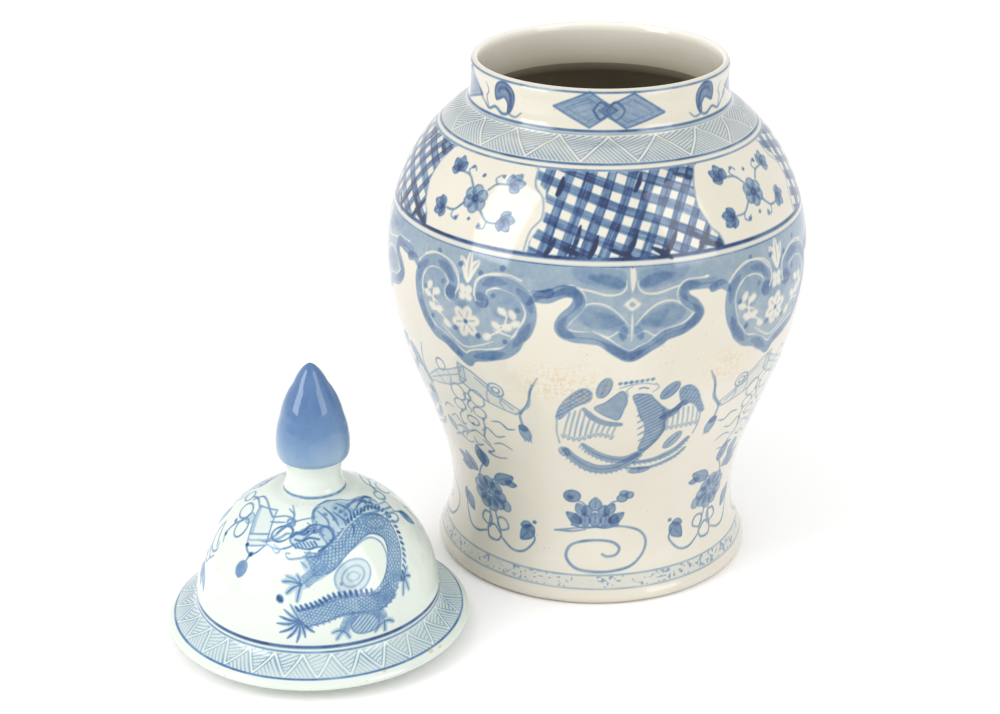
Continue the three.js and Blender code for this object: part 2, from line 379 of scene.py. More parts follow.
    def leaf(self, x0, y0, x1, y1, width, dark=0.5, outline=0.0):
        """A pointed leaf from its stalk end to its tip."""
        a, b = np.array([x0, y0], float), np.array([x1, y1], float)
        d = b - a
        n = np.array([-d[1], d[0]]) / max(np.hypot(*d), TINY)
        t = np.array([0, 0.2, 0.5, 0.8, 1.0])
        w = np.array([0, 0.38, 0.5, 0.3, 0]) * width
        middle = a + d * t[:, None]
        shape = np.vstack([middle + n * w[:, None], (middle - n * w[:, None])[::-1][1:-1]])
        self.fill(shape, dark, outline, FINE_LINE)
        if outline:
            self.line(middle[1:], 0.6, outline)

    def dots(self, points, size=1.6, dark=0.7):
        for x, y in points:
            self.line([(x, y), (x + 0.3, y + 0.2)], size, dark)

    def flower(self, x, y, petal, reach, count=6, turn=0, dark=0.35, outline=0.6, centre=0.7):
        """Round petals about a darker centre."""
        for k in range(count):
            a = math.radians(turn + 360 * k / count)
            self.oval(x + reach * math.cos(a), y + reach * math.sin(a), petal, petal, 0, dark, outline)
        self.oval(x, y, petal * 0.7, petal * 0.7, 0, centre)

    def scale(self, at, along, across, reach, width, dark):
        """One fish scale: a small arrowhead pointing along."""
        tips = [at - across * 0.9, at + along * reach, at + across * 0.9]
        self.line(tips, width, dark, smooth=False)


def quarters(bearing):
    """Four even bearings round the pot from a first one, in degrees."""
    return [bearing + 90 * k for k in range(4)]


def around(draw, canvas, bearings, s0, mirrored=(), seeds=(11, 18, 25, 32), weight=1.0):
    """The same motif at several bearings, some of them mirrored."""
    for k, bearing in enumerate(bearings):
        draw(Pen(canvas, bearing, s0, k in mirrored, seeds[k], weight))


def zigzag(canvas, low, high, count, phase, pitch=1.75, tone=0.42, width=0.60, patchy=0.5):
    """A band of triangles hatched in turn one way and the other, with plain gaps between."""
    rows, X, S = canvas.band(low, high)
    place = (canvas.angle[None, :] - canvas.facing) * count / FULL_TURN + phase
    cell, turn = np.floor(place), place % 1.0
    base = FULL_TURN * canvas.r[rows][:, None] / count
    v = (S - low) / (high - low)
    wave = 1 - np.abs(2 * turn - 1)                      # 0 at a lower corner, 1 at an upper one
    slope = 2 * (high - low) / base
    away = (v - wave) * (high - low) / np.sqrt(1 + slope ** 2)
    above = away > 0
    x = np.where(above, (turn + 0.5) % 1.0 - 0.5, turn - 0.5) * base
    y = v * (high - low)
    angle = np.where(above, 0.42, -np.arctan(slope) * 0.96)
    across = (-x * np.sin(angle) + y * np.cos(angle)) / pitch + 0.3 * value_noise(x / 9 + cell * 3, y / 9, 21)
    stripe = np.abs(across - np.round(across)) * pitch
    from_edge = np.abs(away)
    hatch = np.clip((width - stripe) / 0.45, 0, 1) * np.clip((from_edge - 1.1) / 0.4, 0, 1)
    edge = np.clip((0.52 - np.abs(from_edge - 0.98)) / 0.42, 0, 1)
    fade = 1 - patchy / 2 + patchy * value_noise(X / 25, S / 9, 22)
    ink = np.maximum(hatch * tone, edge * tone * 1.1) * fade
    ground = 0.07 * np.clip((from_edge - 1.2) / 0.5, 0, 1)
    canvas.darken(rows, np.maximum(ink, ground))


# ---------------------------------------------------------------- the jar's painting
def lattice(p):
    """Crossed broad strokes behind the shoulder panels."""
    panel = [(-45, 20.5), (-47, 14), (-40, 8), (-41, -5), (-43, -10), (-50, -20), (-52, -27), (66, -27),
             (60, -18), (52, -8), (48, 10), (49, 20.5)]
    where, X, Y, m, _ = p.area(panel, smooth=False)
    bend = 5 * np.clip(X - 10, 0, 60) / 60
    warp = 1.6 * (value_noise(X / 30, Y / 30, 31) - 0.5)
    for angle, pitch, width, tone, seed in ((68, 10.3, 5.2, 0.66, 32), (-20, 10.2, 5.1, 0.61, 33)):
        a = np.radians(angle - (bend if angle < 0 else 0))
        across = -X * np.sin(a) + Y * np.cos(a) + warp
        along = X * np.cos(a) + Y * np.sin(a)
        k = np.round(across / pitch)
        d = np.abs(across - k * pitch)
        swell = 0.8 * (value_noise(along / 14, k * 3.1, seed) - 0.5)
        body = stroke_mask(width / 2 + swell, d)
        streak = value_noise(across / 0.75, along / 16, seed + 5)
        dry = 0.62 + 0.55 * streak + 0.25 * (value_noise(k * 1.7, along / 22, seed + 9) - 0.5)
        rim = 1 + 0.22 * np.clip((d - width / 2 + 1.1) / 0.8, 0, 1)
        p.lay(where, np.clip(body * dry * rim, 0, 1.2) * m, tone, wash=True)
    for x0, y0, x1, y1 in ((-22, -10, -28, -26), (-13, -15, -18, -27), (-7, -22, 4, -26), (8, -14, 2, -26),
                           (16, -22, 27, -28), (30, -14, 24, -26), (-36, -18, -42, -27), (38, -16, 50, -23),
                           (44, -22, 60, -27), (-32, -22, -24, -25), (-30, 16, -34, 6), (12, 19, 8, 9),
                           (30, 17, 40, 13), (50, -14, 44, -26)):
        p.line([(x0, y0), ((x0 + x1) / 2 + 0.4, (y0 + y1) / 2), (x1, y1)], 2.7, 0.97, ends=(0.5, 0.8))


def cartouche(p):
    """A white shoulder panel with a blossom on crossed stems."""
    left = [(-31, 20), (-38, 8), (-41, -3), (-38, -15), (-34, -20), (-32, -27)]
    right = [(30, 20), (33, 10), (40, 3), (43, -7), (39, -15), (38, -27)]
    p.fill(left + right[::-1], 1.0, white=True, smooth=False)
    for side in (left, right):
        p.line(side, 1.1, 0.34)
    p.flower(0.5, -3.5, 6.6, 4.5, 6, 30, 0.36, 0.58, 0.72)
    for stem, head, lean, tone in (([(-4, 3), (-9, 8), (-16, 9)], (-20, 12), 120, 0.56),
                                   ([(7, 3), (11, 7), (18, 8)], (22, 10), 40, 0.42),
                                   ([(-6, -7), (-12, -12.5), (-19, -13)], (-24, -13.5), 190, 0.58),
                                   ([(6, -9), (12, -14), (19, -14)], (24, -12.5), 340, 0.44)):
        p.line(stem, 1.2, 0.50, (1.2, 0.7))
        for turn, reach, wide in ((-62, 6.5, 5), (-22, 8.5, 6), (20, 8.5, 6), (60, 6.5, 5)):
            a, b = math.radians(lean + turn), math.radians(lean)
            x, y = head[0] - 4.0 * math.cos(b), head[1] - 4.0 * math.sin(b)
            p.leaf(x, y, x + reach * math.cos(a), y + reach * math.sin(a), wide, tone * 0.8, tone + 0.12)
    for t in ([(-9, 8), (-11, 11), (-8, 13.5), (-6, 11.5)], [(11, 7), (9, 10), (12, 12.5), (14, 11)],
              [(-12, -12.5), (-13, -16), (-9, -17.5), (-8, -15)],
              [(12, -14), (11, -18), (7, -18.5), (7.5, -16)]):
        p.line(t, 0.9, 0.5)
    p.dots([(-9, 13), (13, 12), (-9.5, -16.5), (8, -17.5), (0.5, 10), (0, -15)], 2.0, 0.62)


def trefoil(p):
    """The three-lobed pendant that hangs from the wash band between the heart pendants."""
    ribbon = [(-50, 23.5), (-42, 24), (-34, 27.5), (-28, 27), (-25.5, 23), (-27.5, 18.5), (-33, 13),
              (-35.5, 8), (-33.5, 4), (-28, 2), (-18, 1.5), (-12, -1), (-5, -6), (2.5, -9.5), (10, -6),
              (18, -1), (22, 2), (32, 4.5), (38.5, 8.5), (41.5, 13), (38, 17.5), (33.5, 21), (31.5, 25),
              (34, 28.5), (42, 28.5), (50, 28)]
    p.fill(ribbon[1:-1] + [(50, 42), (-50, 42)], 0.34, smooth=False, flat=True)
    for side in (-1, 1):
        def at(*pts):
            return [(3 + side * x, y) for x, y in pts]
        p.fill(at((31, 41), (29, 34), (20, 31), (10, 29), (4, 31), (3, 36), (7, 40)), 0.16)
        p.fill(at((24, 36), (14, 31.5), (7, 30), (3.5, 32.5), (8, 36), (16, 38)), 0.26)
        p.line(at((30, 30), (22, 28.5), (14, 26.5), (7, 27), (3.5, 30), (3, 34)), 1.2, 0.9, (0.6, 0.4),
               white=True)
        p.fill(at((30, 16), (22, 20), (12, 18), (4, 11), (10, 8), (20, 7), (28, 11)), 0.20)
        p.fill(at((20, 17), (10, 15), (3, 9), (9, 6.5), (16, 8)), 0.16)
        p.line(at((31, 17), (23, 21.5), (15, 21), (8, 16.5), (1.5, 9)), 1.1, 0.88, (0.5, 0.4), white=True)
        p.line(at((21, 6), (13, 2.5), (7, 5.5), (1.5, 3)), 1.0, 0.8, (0.5, 0.5), white=True)
    p.line([(3, 16), (3, 8), (3, 0)], 1.2, 0.85, (0.5, 0.4), white=True)
    p.line([(3, 42), (3.5, 36), (3, 28)], 3.0, 0.9, (1, 0.2), white=True)
    p.fill([(-2, 21), (3, 25), (8, 21), (3, 17)], 0.95, smooth=False, white=True)
    p.oval(3, 21, 3.5, 3, 0, 0.35)
    p.leaf(-1, 9, -2, 0, 5, 0.42)
    p.leaf(5, 9, 9, 0, 5, 0.30)
    p.line(ribbon, 7.6, 0.95, (1, 1), white=True)
    p.line(ribbon, 6.4, 0.47)
    for bend in (ribbon[1:6], ribbon[6:10], ribbon[11:15], ribbon[17:21], ribbon[21:25]):
        p.line(bend, 4.8, 0.30, (0.3, 0.3), wash=True)
    p.line(ribbon, 0.8, 0.60)
    for k, y in ((0, 0), (1, 3)):
        p.line([(-50 + k, 26.6), (-43, 27.2), (-35, 30.8), (-27.5, 30.2)], 0.7, 0.62)


def ruyi(p):
    """The heart-shaped cloud pendant."""
    left = [(-5, 15), (-3, 22), (-8, 28), (-16, 30.5), (-25, 28), (-31, 22), (-33, 14), (-31.5, 5), (-27, -4),
            (-20, -11.5), (-13, -14), (-8, -16), (1, -22), (5, -24)]
    right = [(5, -24), (10, -20), (20, -17), (30, -13.5), (36, -8), (42, 0), (46, 7), (47, 14), (44, 21),
             (38, 26), (31, 28), (24, 28), (17.5, 25), (15.5, 19)]
    ground = [(-46, 23), (-36, 26)] + left[4:-1] + [(4, -23)] + right[1:-4] + [(56, 26), (56, 42), (-46, 42)]
    p.fill(ground, 0.33, smooth=False, flat=True)
    p.fill([(-1, 27), (3, 18), (-2, 11), (4, 4), (7, 2), (12, 6), (17, 12), (12, 20), (13, 28)], 0.14)
    p.fill([(-29, 18), (-24, 25), (-16, 27), (-9, 24), (-8, 15), (-16, 8), (-25, 8)], 0.13)
    p.fill([(21, 17), (26, 25), (36, 24), (43, 17), (42, 8), (30, 8), (24, 10)], 0.13)
    for x, y, tilt in ((-22, 15, 60), (-24, 10, 160), (-16, 13, 20), (-14, 3, 30), (-20, 3, 150),
                       (-8, -4, -30), (36, 11, 120), (38, 6, 20), (30, 12, 160), (26, 3, 150), (33, 3, 20),
                       (20, -5, 210)):
        p.oval(x, y, 6.4, 4.4, tilt, 0.92, white=True)
    for pts, w in (([(-19, 14), (-18, 5), (-9, -2)], 1.5), ([(33, 10), (30, 2), (22, -4)], 1.5),
                   ([(-24, 10), (-14, 6)], 1.2), ([(-21, 1), (-11, 3)], 1.2), ([(-14, 14), (-19, 10)], 1.2),
                   ([(38, 6), (27, 3)], 1.2), ([(36, -2), (24, 0)], 1.2), ([(28, 14), (33, 9)], 1.2),
                   ([(-12, -6), (-3, -12), (5, -15), (16, -11), (24, -7)], 1.0)):
        p.line(pts, w, 0.9, (0.5, 0.5), white=True)
    for k in range(6):
        a = math.radians(60 * k + 15)
        dx, dy = math.cos(a), math.sin(a)
        p.oval(6 + 5.4 * dx, 1 + 5.4 * dy, 8.8, 6.6, 60 * k + 15, 0.95, white=True)
        p.line([(6 + 3 * dx, 1 + 3 * dy), (6 + 6.5 * dx, 1 + 6.5 * dy)], 0.7, 0.34)
    for k in range(4):
        a = math.radians(90 * k + 45)
        p.oval(6 + 3.0 * math.cos(a), 18 + 3.0 * math.sin(a), 5.4, 4.6, 90 * k + 45, 0.92, white=True)
    for x1, y1, bend in ((1, 37, 1.5), (13, 37, -1.5), (7, 41, 0)):
        p.line([(7, 25), ((7 + x1) / 2 + bend * 0.4, 32), (x1, y1)], 5.4, 0.95, (0.4, 0.3), white=True)
        p.line([(7, 27), ((7 + x1) / 2 + bend * 0.4, 32), (x1, y1)], 0.7, 0.36, (0.4, 0.3))
    p.oval(6, 1, 3.2, 3.0, 0, 0.5)
    p.dots([(-26, 13), (1, 33), (15, 31), (-2, -5), (14, -6), (-11, 20), (24, 20), (39, 14), (-20, -3),
            (31, -6), (-16, 36), (28, 36)], 3.0, 0.60)
    for pts in (left, right):
        p.line(pts, 8.2, 0.95, white=True)
    for pts in (left, right):
        p.line(pts, 6.8, 0.45)
        for k in range(1, len(pts) - 3, 3):
            p.line(pts[k:k + 3], 5.0, 0.26, (0.3, 0.3), wash=True)
    p.oval(-4, 15.5, 9, 8.5, 0, 0.42, 0.6)
    p.oval(16.5, 16, 9, 8.5, 0, 0.42, 0.6)
    p.line([(-4, 15), (-6, 17), (-8, 15.5), (-7, 13)], 0.8, 0.75)
    p.line([(17, 15.5), (19, 17), (21, 15.5), (20, 13)], 0.8, 0.75)
    for pts in ([(-44, 25), (-38, 26), (-33, 22)], [(56, 26), (50, 24), (45, 19)]):
        p.line(pts, 5.0, 0.42, (1, 0.5), wash=True)
    p.line([(-28, 31), (-20, 34.5), (-8, 33.5), (-1, 29), (1, 22), (-1, 16)], 1.0, 0.9, white=True)
    p.line([(40, 31), (32, 33), (22, 32), (13, 27), (12, 20), (13, 15)], 1.0, 0.9, white=True)


def phoenix(p):
    """A phoenix medallion, wings spread and tail curled under."""
    wing_l = [(-36, 5), (-34, 14), (-29, 22), (-22, 27.5), (-17.5, 25), (-17.5, 20), (-20, 17.5), (-26, 14),
              (-31, 8), (-34, 4)]
    p.fill(wing_l, 0.34, 0.42)
    p.hatch(wing_l, 40, 2.3, 0.8, 0.62)
    p.hatch(wing_l, -35, 2.5, 0.7, 0.58)
    p.line([(-21, 13), (-16, 7), (-9, 2.5), (0, 1)], 4.0, 0.46, (0.6, 0.8), wash=True)
    p.line([(-35.5, 4), (-35, -6), (-33, -15)], 1.0, 0.36)
    for k in range(10):
        x = -28.5 + 2.95 * k
        top = np.interp(x, (-36, -21, -16, -9, 0), (6, 13, 7, 2.5, 1))
        low = -9.5 - 2.2 * math.sin(k * 0.7)
        p.line([(x, top), (x - 1.6, (top + low) / 2), (x - 2.6, low)], 1.3, 0.34, (1.0, 0.6))
        p.line([(x - 3.8, low + 1.6), (x - 2.6, low - 1.2), (x - 1.0, low + 1.4)], 0.8, 0.38)
    for x, y, w, h, tilt, tone in ((-10.5, 28, 8, 16, -20, 0.46), (27, 23.5, 8, 16, -45, 0.44),
                                   (32, -16, 7, 17, -40, 0.36), (13.5, -37.5, 14, 5, 5, 0.38),
                                   (-30, -22, 6, 9, 30, 0.26)):
        p.oval(x, y, w * 0.88, h * 0.88, tilt, tone, min(0.6, tone + 0.14))
        a = math.radians(tilt + 90)
        dx, dy = h / 3 * math.cos(a), h / 3 * math.sin(a)
        p.line([(x - dx, y - dy), (x + dx, y + dy)], 0.8, 0.62)
    p.fill([(-15, 14), (-9, 18), (-4, 23), (0, 25.5), (2.5, 19), (1, 12.5), (-1.5, 5), (-6, 6.5), (-11, 9.5)],
           0.42, 0.56)
    body = [(6, 21), (8, 23), (15, 22), (18, 18.5), (24, 11.5), (29, 8.5), (35, 14), (33, 7), (26, 1),
            (26, -6), (22, -14), (16, -21), (12, -20), (13, -14), (14.5, -8), (14, 0), (11, 6), (9, 13)]
    p.fill(body, 0.40, 0.55)
    p.hatch(body, 28, 2.4, 0.8, 0.60)
    p.line([(24, 11), (25.5, 2), (25, -6), (21, -14), (16, -20)], 2.2, 0.26, wash=True)
    for k in range(6):
        y = 14 - 5 * k
        p.line([(12 + 0.4 * k, y), (8.5 + 0.5 * k, y - 2.5)], 1.2, 0.48, (1, 0.4))
    p.line([(24, 4), (30, 8), (37, 13)], 3.6, 0.44, wash=True)
    wing_r = [(33, 20), (34, 24), (39, 25), (44, 20), (47, 12), (50, 4), (47.5, 3), (44, 9), (40, 12),
              (36, 11)]
    p.fill(wing_r, 0.38, 0.46)
    p.hatch(wing_r, 60, 2.4, 0.8, 0.60)
    p.hatch(wing_r, -20, 2.6, 0.7, 0.54)
    for k in range(7):
        x = 27 + 3.1 * k
        p.line([(x, 9.5 - 0.2 * k), (x + 0.4, 2), (x + 0.2, -5.5)], 1.2, 0.33, (1, 0.6))
        p.line([(x - 1.2, -4.2), (x + 0.2, -7), (x + 1.5, -4)], 0.8, 0.36)
    p.line([(48, 2), (47.5, -6), (45, -14)], 1.0, 0.36)
    for pts, w, tone in (([(-29, -20), (-24, -27), (-14, -34), (-4, -35), (5, -31), (12, -25)], 7.0, 0.44),
                         ([(-20, -15), (-13, -22), (-3, -27), (6, -27), (14, -22)], 5.8, 0.40),
                         ([(10, -31), (22, -30), (34, -25), (42, -17)], 4.2, 0.42),
                         ([(6, -35), (20, -36), (34, -31), (41, -25)], 2.8, 0.34)):
        p.line(pts, w, tone, (0.5, 0.7), wash=True)
        p.line(pts, 0.8, tone + 0.2)
        for a, _, d, n in stations(curve(pts, 3.2)):
            p.line([a - n * w * 0.3, a + d * 1.3 - n * w * 0.62], 0.8, tone + 0.06, (1, 0.4))
    p.dots([(x, 31 + (x + 2) * 0.1) for x in range(-2, 18, 3)], 2.2, 0.50)
    p.line([(-2, 28), (5, 30), (12, 30.5), (18, 29)], 0.8, 0.42)
    p.line([(9, 27), (11.5, 27.6), (14, 26.6)], 0.9, 0.60)
    p.line([(3, 22), (2, 26), (5, 29)], 0.7, 0.36)
    p.line([(17, 24), (20, 27), (18, 30)], 0.7, 0.36)


def scroll(p):
    """A pair of tied scrolls with cords and tassels."""
    p.fill([(-30, 8), (-16, 18), (-5, 22), (8, 28.5), (8, 19), (3, 15), (-8, 10), (-19, 7), (-29, 5)], 0.07,
           0.34, 1.0, smooth=False)
    p.fill([(4, 30), (13, 27), (24, 20), (31, 13), (41, 6), (37, 2.5), (31, 4), (21, 7), (11, 12), (3, 17)],
           0.07, 0.38, 1.1, smooth=False)
    for pts in ([(-26, 8), (-12, 15), (4, 22)], [(-20, 17), (-16, 13), (-12, 9)],
                [(-7, 21), (-5, 16), (-8, 10)], [(15, 23), (25, 16), (36, 6)], [(24, 20), (21, 13), (21, 7)],
                [(31, 13), (29, 9), (31, 4)], [(6, 26), (3, 21), (8, 19)]):
        p.line(pts, 0.9, 0.34)
    p.line([(56, 32), (50, 22), (47, 12), (40, 4), (39, -5)], 1.8, 0.36, (0.5, 1))
    p.line([(52, 27), (47, 14), (41, 5)], 0.8, 0.56)
    p.line([(-29, 31), (-32, 18), (-30, 7), (-32, -1)], 1.3, 0.36)
    for x, y, w, h in ((28, 18, 10, 9), (-12, 23, 8, 8), (-2, 7, 11, 12), (12, 7, 11, 12), (5, 6, 5, 5),
                       (28, 18, 5, 4), (-4, -3, 9, 8), (11, -4, 9, 8), (3, -13, 9, 7)):
        p.ring(x, y, w, h, 0, 1.1, 0.42)
    for pts in ([(5, 3), (3, -1), (5, -4), (4, -6)], [(-18, -18), (-13, -15), (-9, -20), (-4, -18)],
                [(8, -19), (13, -15), (18, -20), (24, -18)], [(-14, -31), (-10, -27), (-5, -26)],
                [(-21, -34), (-15, -31), (-8, -34), (-3, -32)],
                [(6, -27), (12, -33), (7, -36), (13, -38), (20, -36.5)],
                [(-4, -8), (-8, -14), (-6, -24), (-9, -30)], [(12, -9), (11, -16), (8, -24), (11, -29)],
                [(-10, -22), (-4, -24), (2, -21), (8, -24)], [(-16, -25), (-11, -23), (-8, -26)],
                [(-12, -9), (-18, -8), (-22, -12)], [(18, -8), (24, -7), (28, -11), (33, -10)],
                [(14, -27), (20, -25), (26, -28)], [(-2, -28), (0, -33), (5, -31)]):
        p.line(pts, 1.4, 0.44, (0.5, 0.5))
    for x, y, w, h in ((39, -11, 6.5, 12), (-33, -8, 7, 13)):
        p.oval(x, y, w, h, 0, 0.30, 0.52)
        p.oval(x, y + h * 0.3, w * 0.8, h * 0.4, 0, 0.48, 0.62)
        for k in (-1, 0, 1):
            p.line([(x + k * w * 0.25, y + 1), (x + k * w * 0.3, y - h / 2 - 1)], 0.8, 0.46)
    p.leaf(0, -37, 0, -50, 9, 0.48, 0.64)
    p.leaf(-23, -20, -18, -30, 6, 0.34, 0.50)
    p.dots([(5, 3), (-4, -8), (12, -9), (2, -16), (-30, 6), (40, 4), (-16, -31), (8, -36)], 2.0, 0.52)


def lotus(p):
    """A lotus over a coiled tendril, low on the front."""
    p.line([(-21, -4.5), (-14, -3), (-5, -1), (8, 0), (20, -1), (29, -5), (33, -12), (31, -20), (24, -26.5),
            (12, -29), (0, -29), (-9, -27), (-14, -21), (-12, -14), (-5, -10.5), (5, -9.5), (13, -11),
            (17, -15), (15, -19), (10, -20), (7, -18.5)], 1.7, 0.46, (0.7, 0.9))
    p.line([(-21, -4.5), (-12, -4.2), (-3, -2.4)], 1.0, 0.48, (0.4, 0.8))
    for x0, y0, x1, y1, w in ((-6, 2, -14, 9, 5.5), (11, 2, 19, 9, 5.5), (-4, 8, -8, 16, 6),
                              (9, 8, 13, 16, 6), (2.5, 11, 2.5, 21, 7), (-2, 7, -3, 15, 6.5),
                              (7, 7, 8, 15, 6.5), (-8, 0, -9, 8.5, 6.5), (-3, 0, -4, 9, 6.5),
                              (2.5, 0, 2.5, 9.5, 7), (8, 0, 9, 9, 6.5), (13, 0, 14, 8.5, 6.5)):
        p.leaf(x0, y0, x1, y1, w, 0.42, 0.60)
    p.line([(-11, 0.5), (-4, -1.2), (3, -0.6), (9, -1.2), (16, 0.5)], 1.1, 0.56)
    p.oval(-11, 21.5, 9.5, 9, 0, 0.52, 0.70)
    p.oval(-12, 20.5, 4, 3.5, 0, 0.45)
    p.oval(18, 20, 6, 5.5, 0, 0.44, 0.60)
    p.oval(22, 22, 5, 5, 0, 0.40, 0.60)
    p.oval(19, 23.5, 5, 4.5, 0, 0.40, 0.60)
    p.line([(-8.5, 18), (-5, 17), (-2, 13)], 1.1, 0.5)
    p.line([(15, 18), (12, 17), (9, 13)], 1.1, 0.5)


def peony(p):
    """A full peony over a knotted stem with a curl to each side."""
    for k in range(9):
        a = math.radians(40 * k)
        p.oval(9 + 8.6 * math.cos(a), -3 + 8.2 * math.sin(a), 8.4, 8.0, 0, 0.34, 0.56)
    p.fill([(2, -10), (0, -3), (3, 5), (9, 7), (16, 4), (18, -3), (15, -10), (9, -12)], 0.20)
    for k in range(5):
        a = math.radians(72 * k + 20)
        p.line([(9 + 7 * math.cos(a), -3 + 7 * math.sin(a)),
                (9 + 3.6 * math.cos(a + 0.7), -3 + 3.6 * math.sin(a + 0.7)), (9, -3)], 1.0, 0.58)
    p.ring(9, -3, 6.5, 6.5, 0, 1.0, 0.58)
    p.oval(21, -8, 7, 8, 30, 0.36, 0.54)
    for leaf in ((0, 10, -13, 19, 8), (-3, 10, -13, 11, 6), (2, 10, -5, 22, 6), (10, 18, 10, 33, 8),
                 (16, 8, 31, 16, 8), (24, 10, 32, 10, 5)):
        p.leaf(*leaf, dark=0.46, outline=0.62)
    p.line([(2, 5), (5, 12), (10, 19)], 1.2, 0.5)
    p.line([(12, 5), (14, 8), (18, 10)], 1.2, 0.5)
    for pts in ([(7, -11), (8, -18), (6, -28)], [(12, -11), (13, -18), (17, -29)],
                [(6, -26), (1, -23), (3, -18), (8, -18), (9, -23), (6, -26)],
                [(17, -26), (22, -23), (20, -18), (15, -18), (14, -23), (17, -26)],
                [(6, -28), (11, -24), (17, -29)], [(6, -28), (8, -33), (15, -33), (17, -29)],
                [(5, -30), (-3, -33), (-11, -31), (-16, -22), (-15, -13)],
                [(17, -30), (26, -35), (34, -34), (40, -26), (38, -20)]):
        p.line(pts, 1.35, 0.48, (0.8, 0.7))
    p.leaf(-15, -12, -8, -22, 8, 0.50, 0.64)
    p.leaf(-16, -10, -17, -18, 4, 0.42, 0.58)
    p.leaf(39, -17, 31, -27, 8, 0.50, 0.64)
    p.leaf(38, -16, 31, -18, 5, 0.44, 0.58)
    p.dots([(-16, -11), (40, -14)], 2.4, 0.62)


def neck_sign(p):
    """Interlaced lozenges on the neck."""
    left = [(-25, 2), (-5, 11.2), (10, 1), (-5, -8.5)]
    right = [(0, 1), (19, 10.2), (37, -2), (15, -9)]
    for shape in (left, right):
        p.fill(shape, 0.40, 0.66, 1.1, smooth=False)
    for shape, k in ((left, 0.62), (right, 0.66)):
        c = np.mean(shape, axis=0)
        small = [tuple(c + (np.array(q) - c) * k) for q in shape]
        p.line(small + small[:1], 0.8, 0.55, smooth=False)
    p.line([(-3, 1), (1, 5.5), (6, 1), (1, -4), (-3, 1)], 1.2, 0.75)
    p.line([(4, 1), (9, 5.5), (14, 0.5), (9, -4.5), (4, 1)], 1.2, 0.75)
    p.ring(5, 1, 6, 6, 0, 0.9, 0.7)
    p.hatch(left, 20, 3.4, 0.8, 0.5, smooth=False)
    p.hatch(right, -25, 3.4, 0.8, 0.5, smooth=False)


def neck_sprig(p):
    """A curled leaf on a stem between the lozenges."""
    blob = [(-6.5, -1), (-7.5, 4), (-4.5, 8.5), (1, 9.5), (6, 7), (7.5, 2), (6, -4), (3.5, -6.5), (3, -1.5),
            (0, 1.5), (-3.5, 0)]
    p.fill(blob, 0.58, 0.74, 1.3)
    p.line([(-5.5, 3), (-2.5, 6), (2, 6.4), (5, 3), (5, -3)], 2.2, 0.80, (0.4, 1))
    p.line([(5.5, 2), (5.8, -3), (3.5, -7), (-1, -8), (-7, -5.5), (-13, -7.5), (-20, -4)], 1.5, 0.58,
           (1, 0.6))
    p.line([(-13, -7.5), (-16, -2), (-14, 2), (-17, 6)], 1.1, 0.46, (0.8, 0.5))
    p.leaf(-20, -4, -26, 1, 3.6, 0.40)
    p.line([(3.5, -7), (9, -8), (13, -5)], 1.2, 0.46, (1, 0.5))


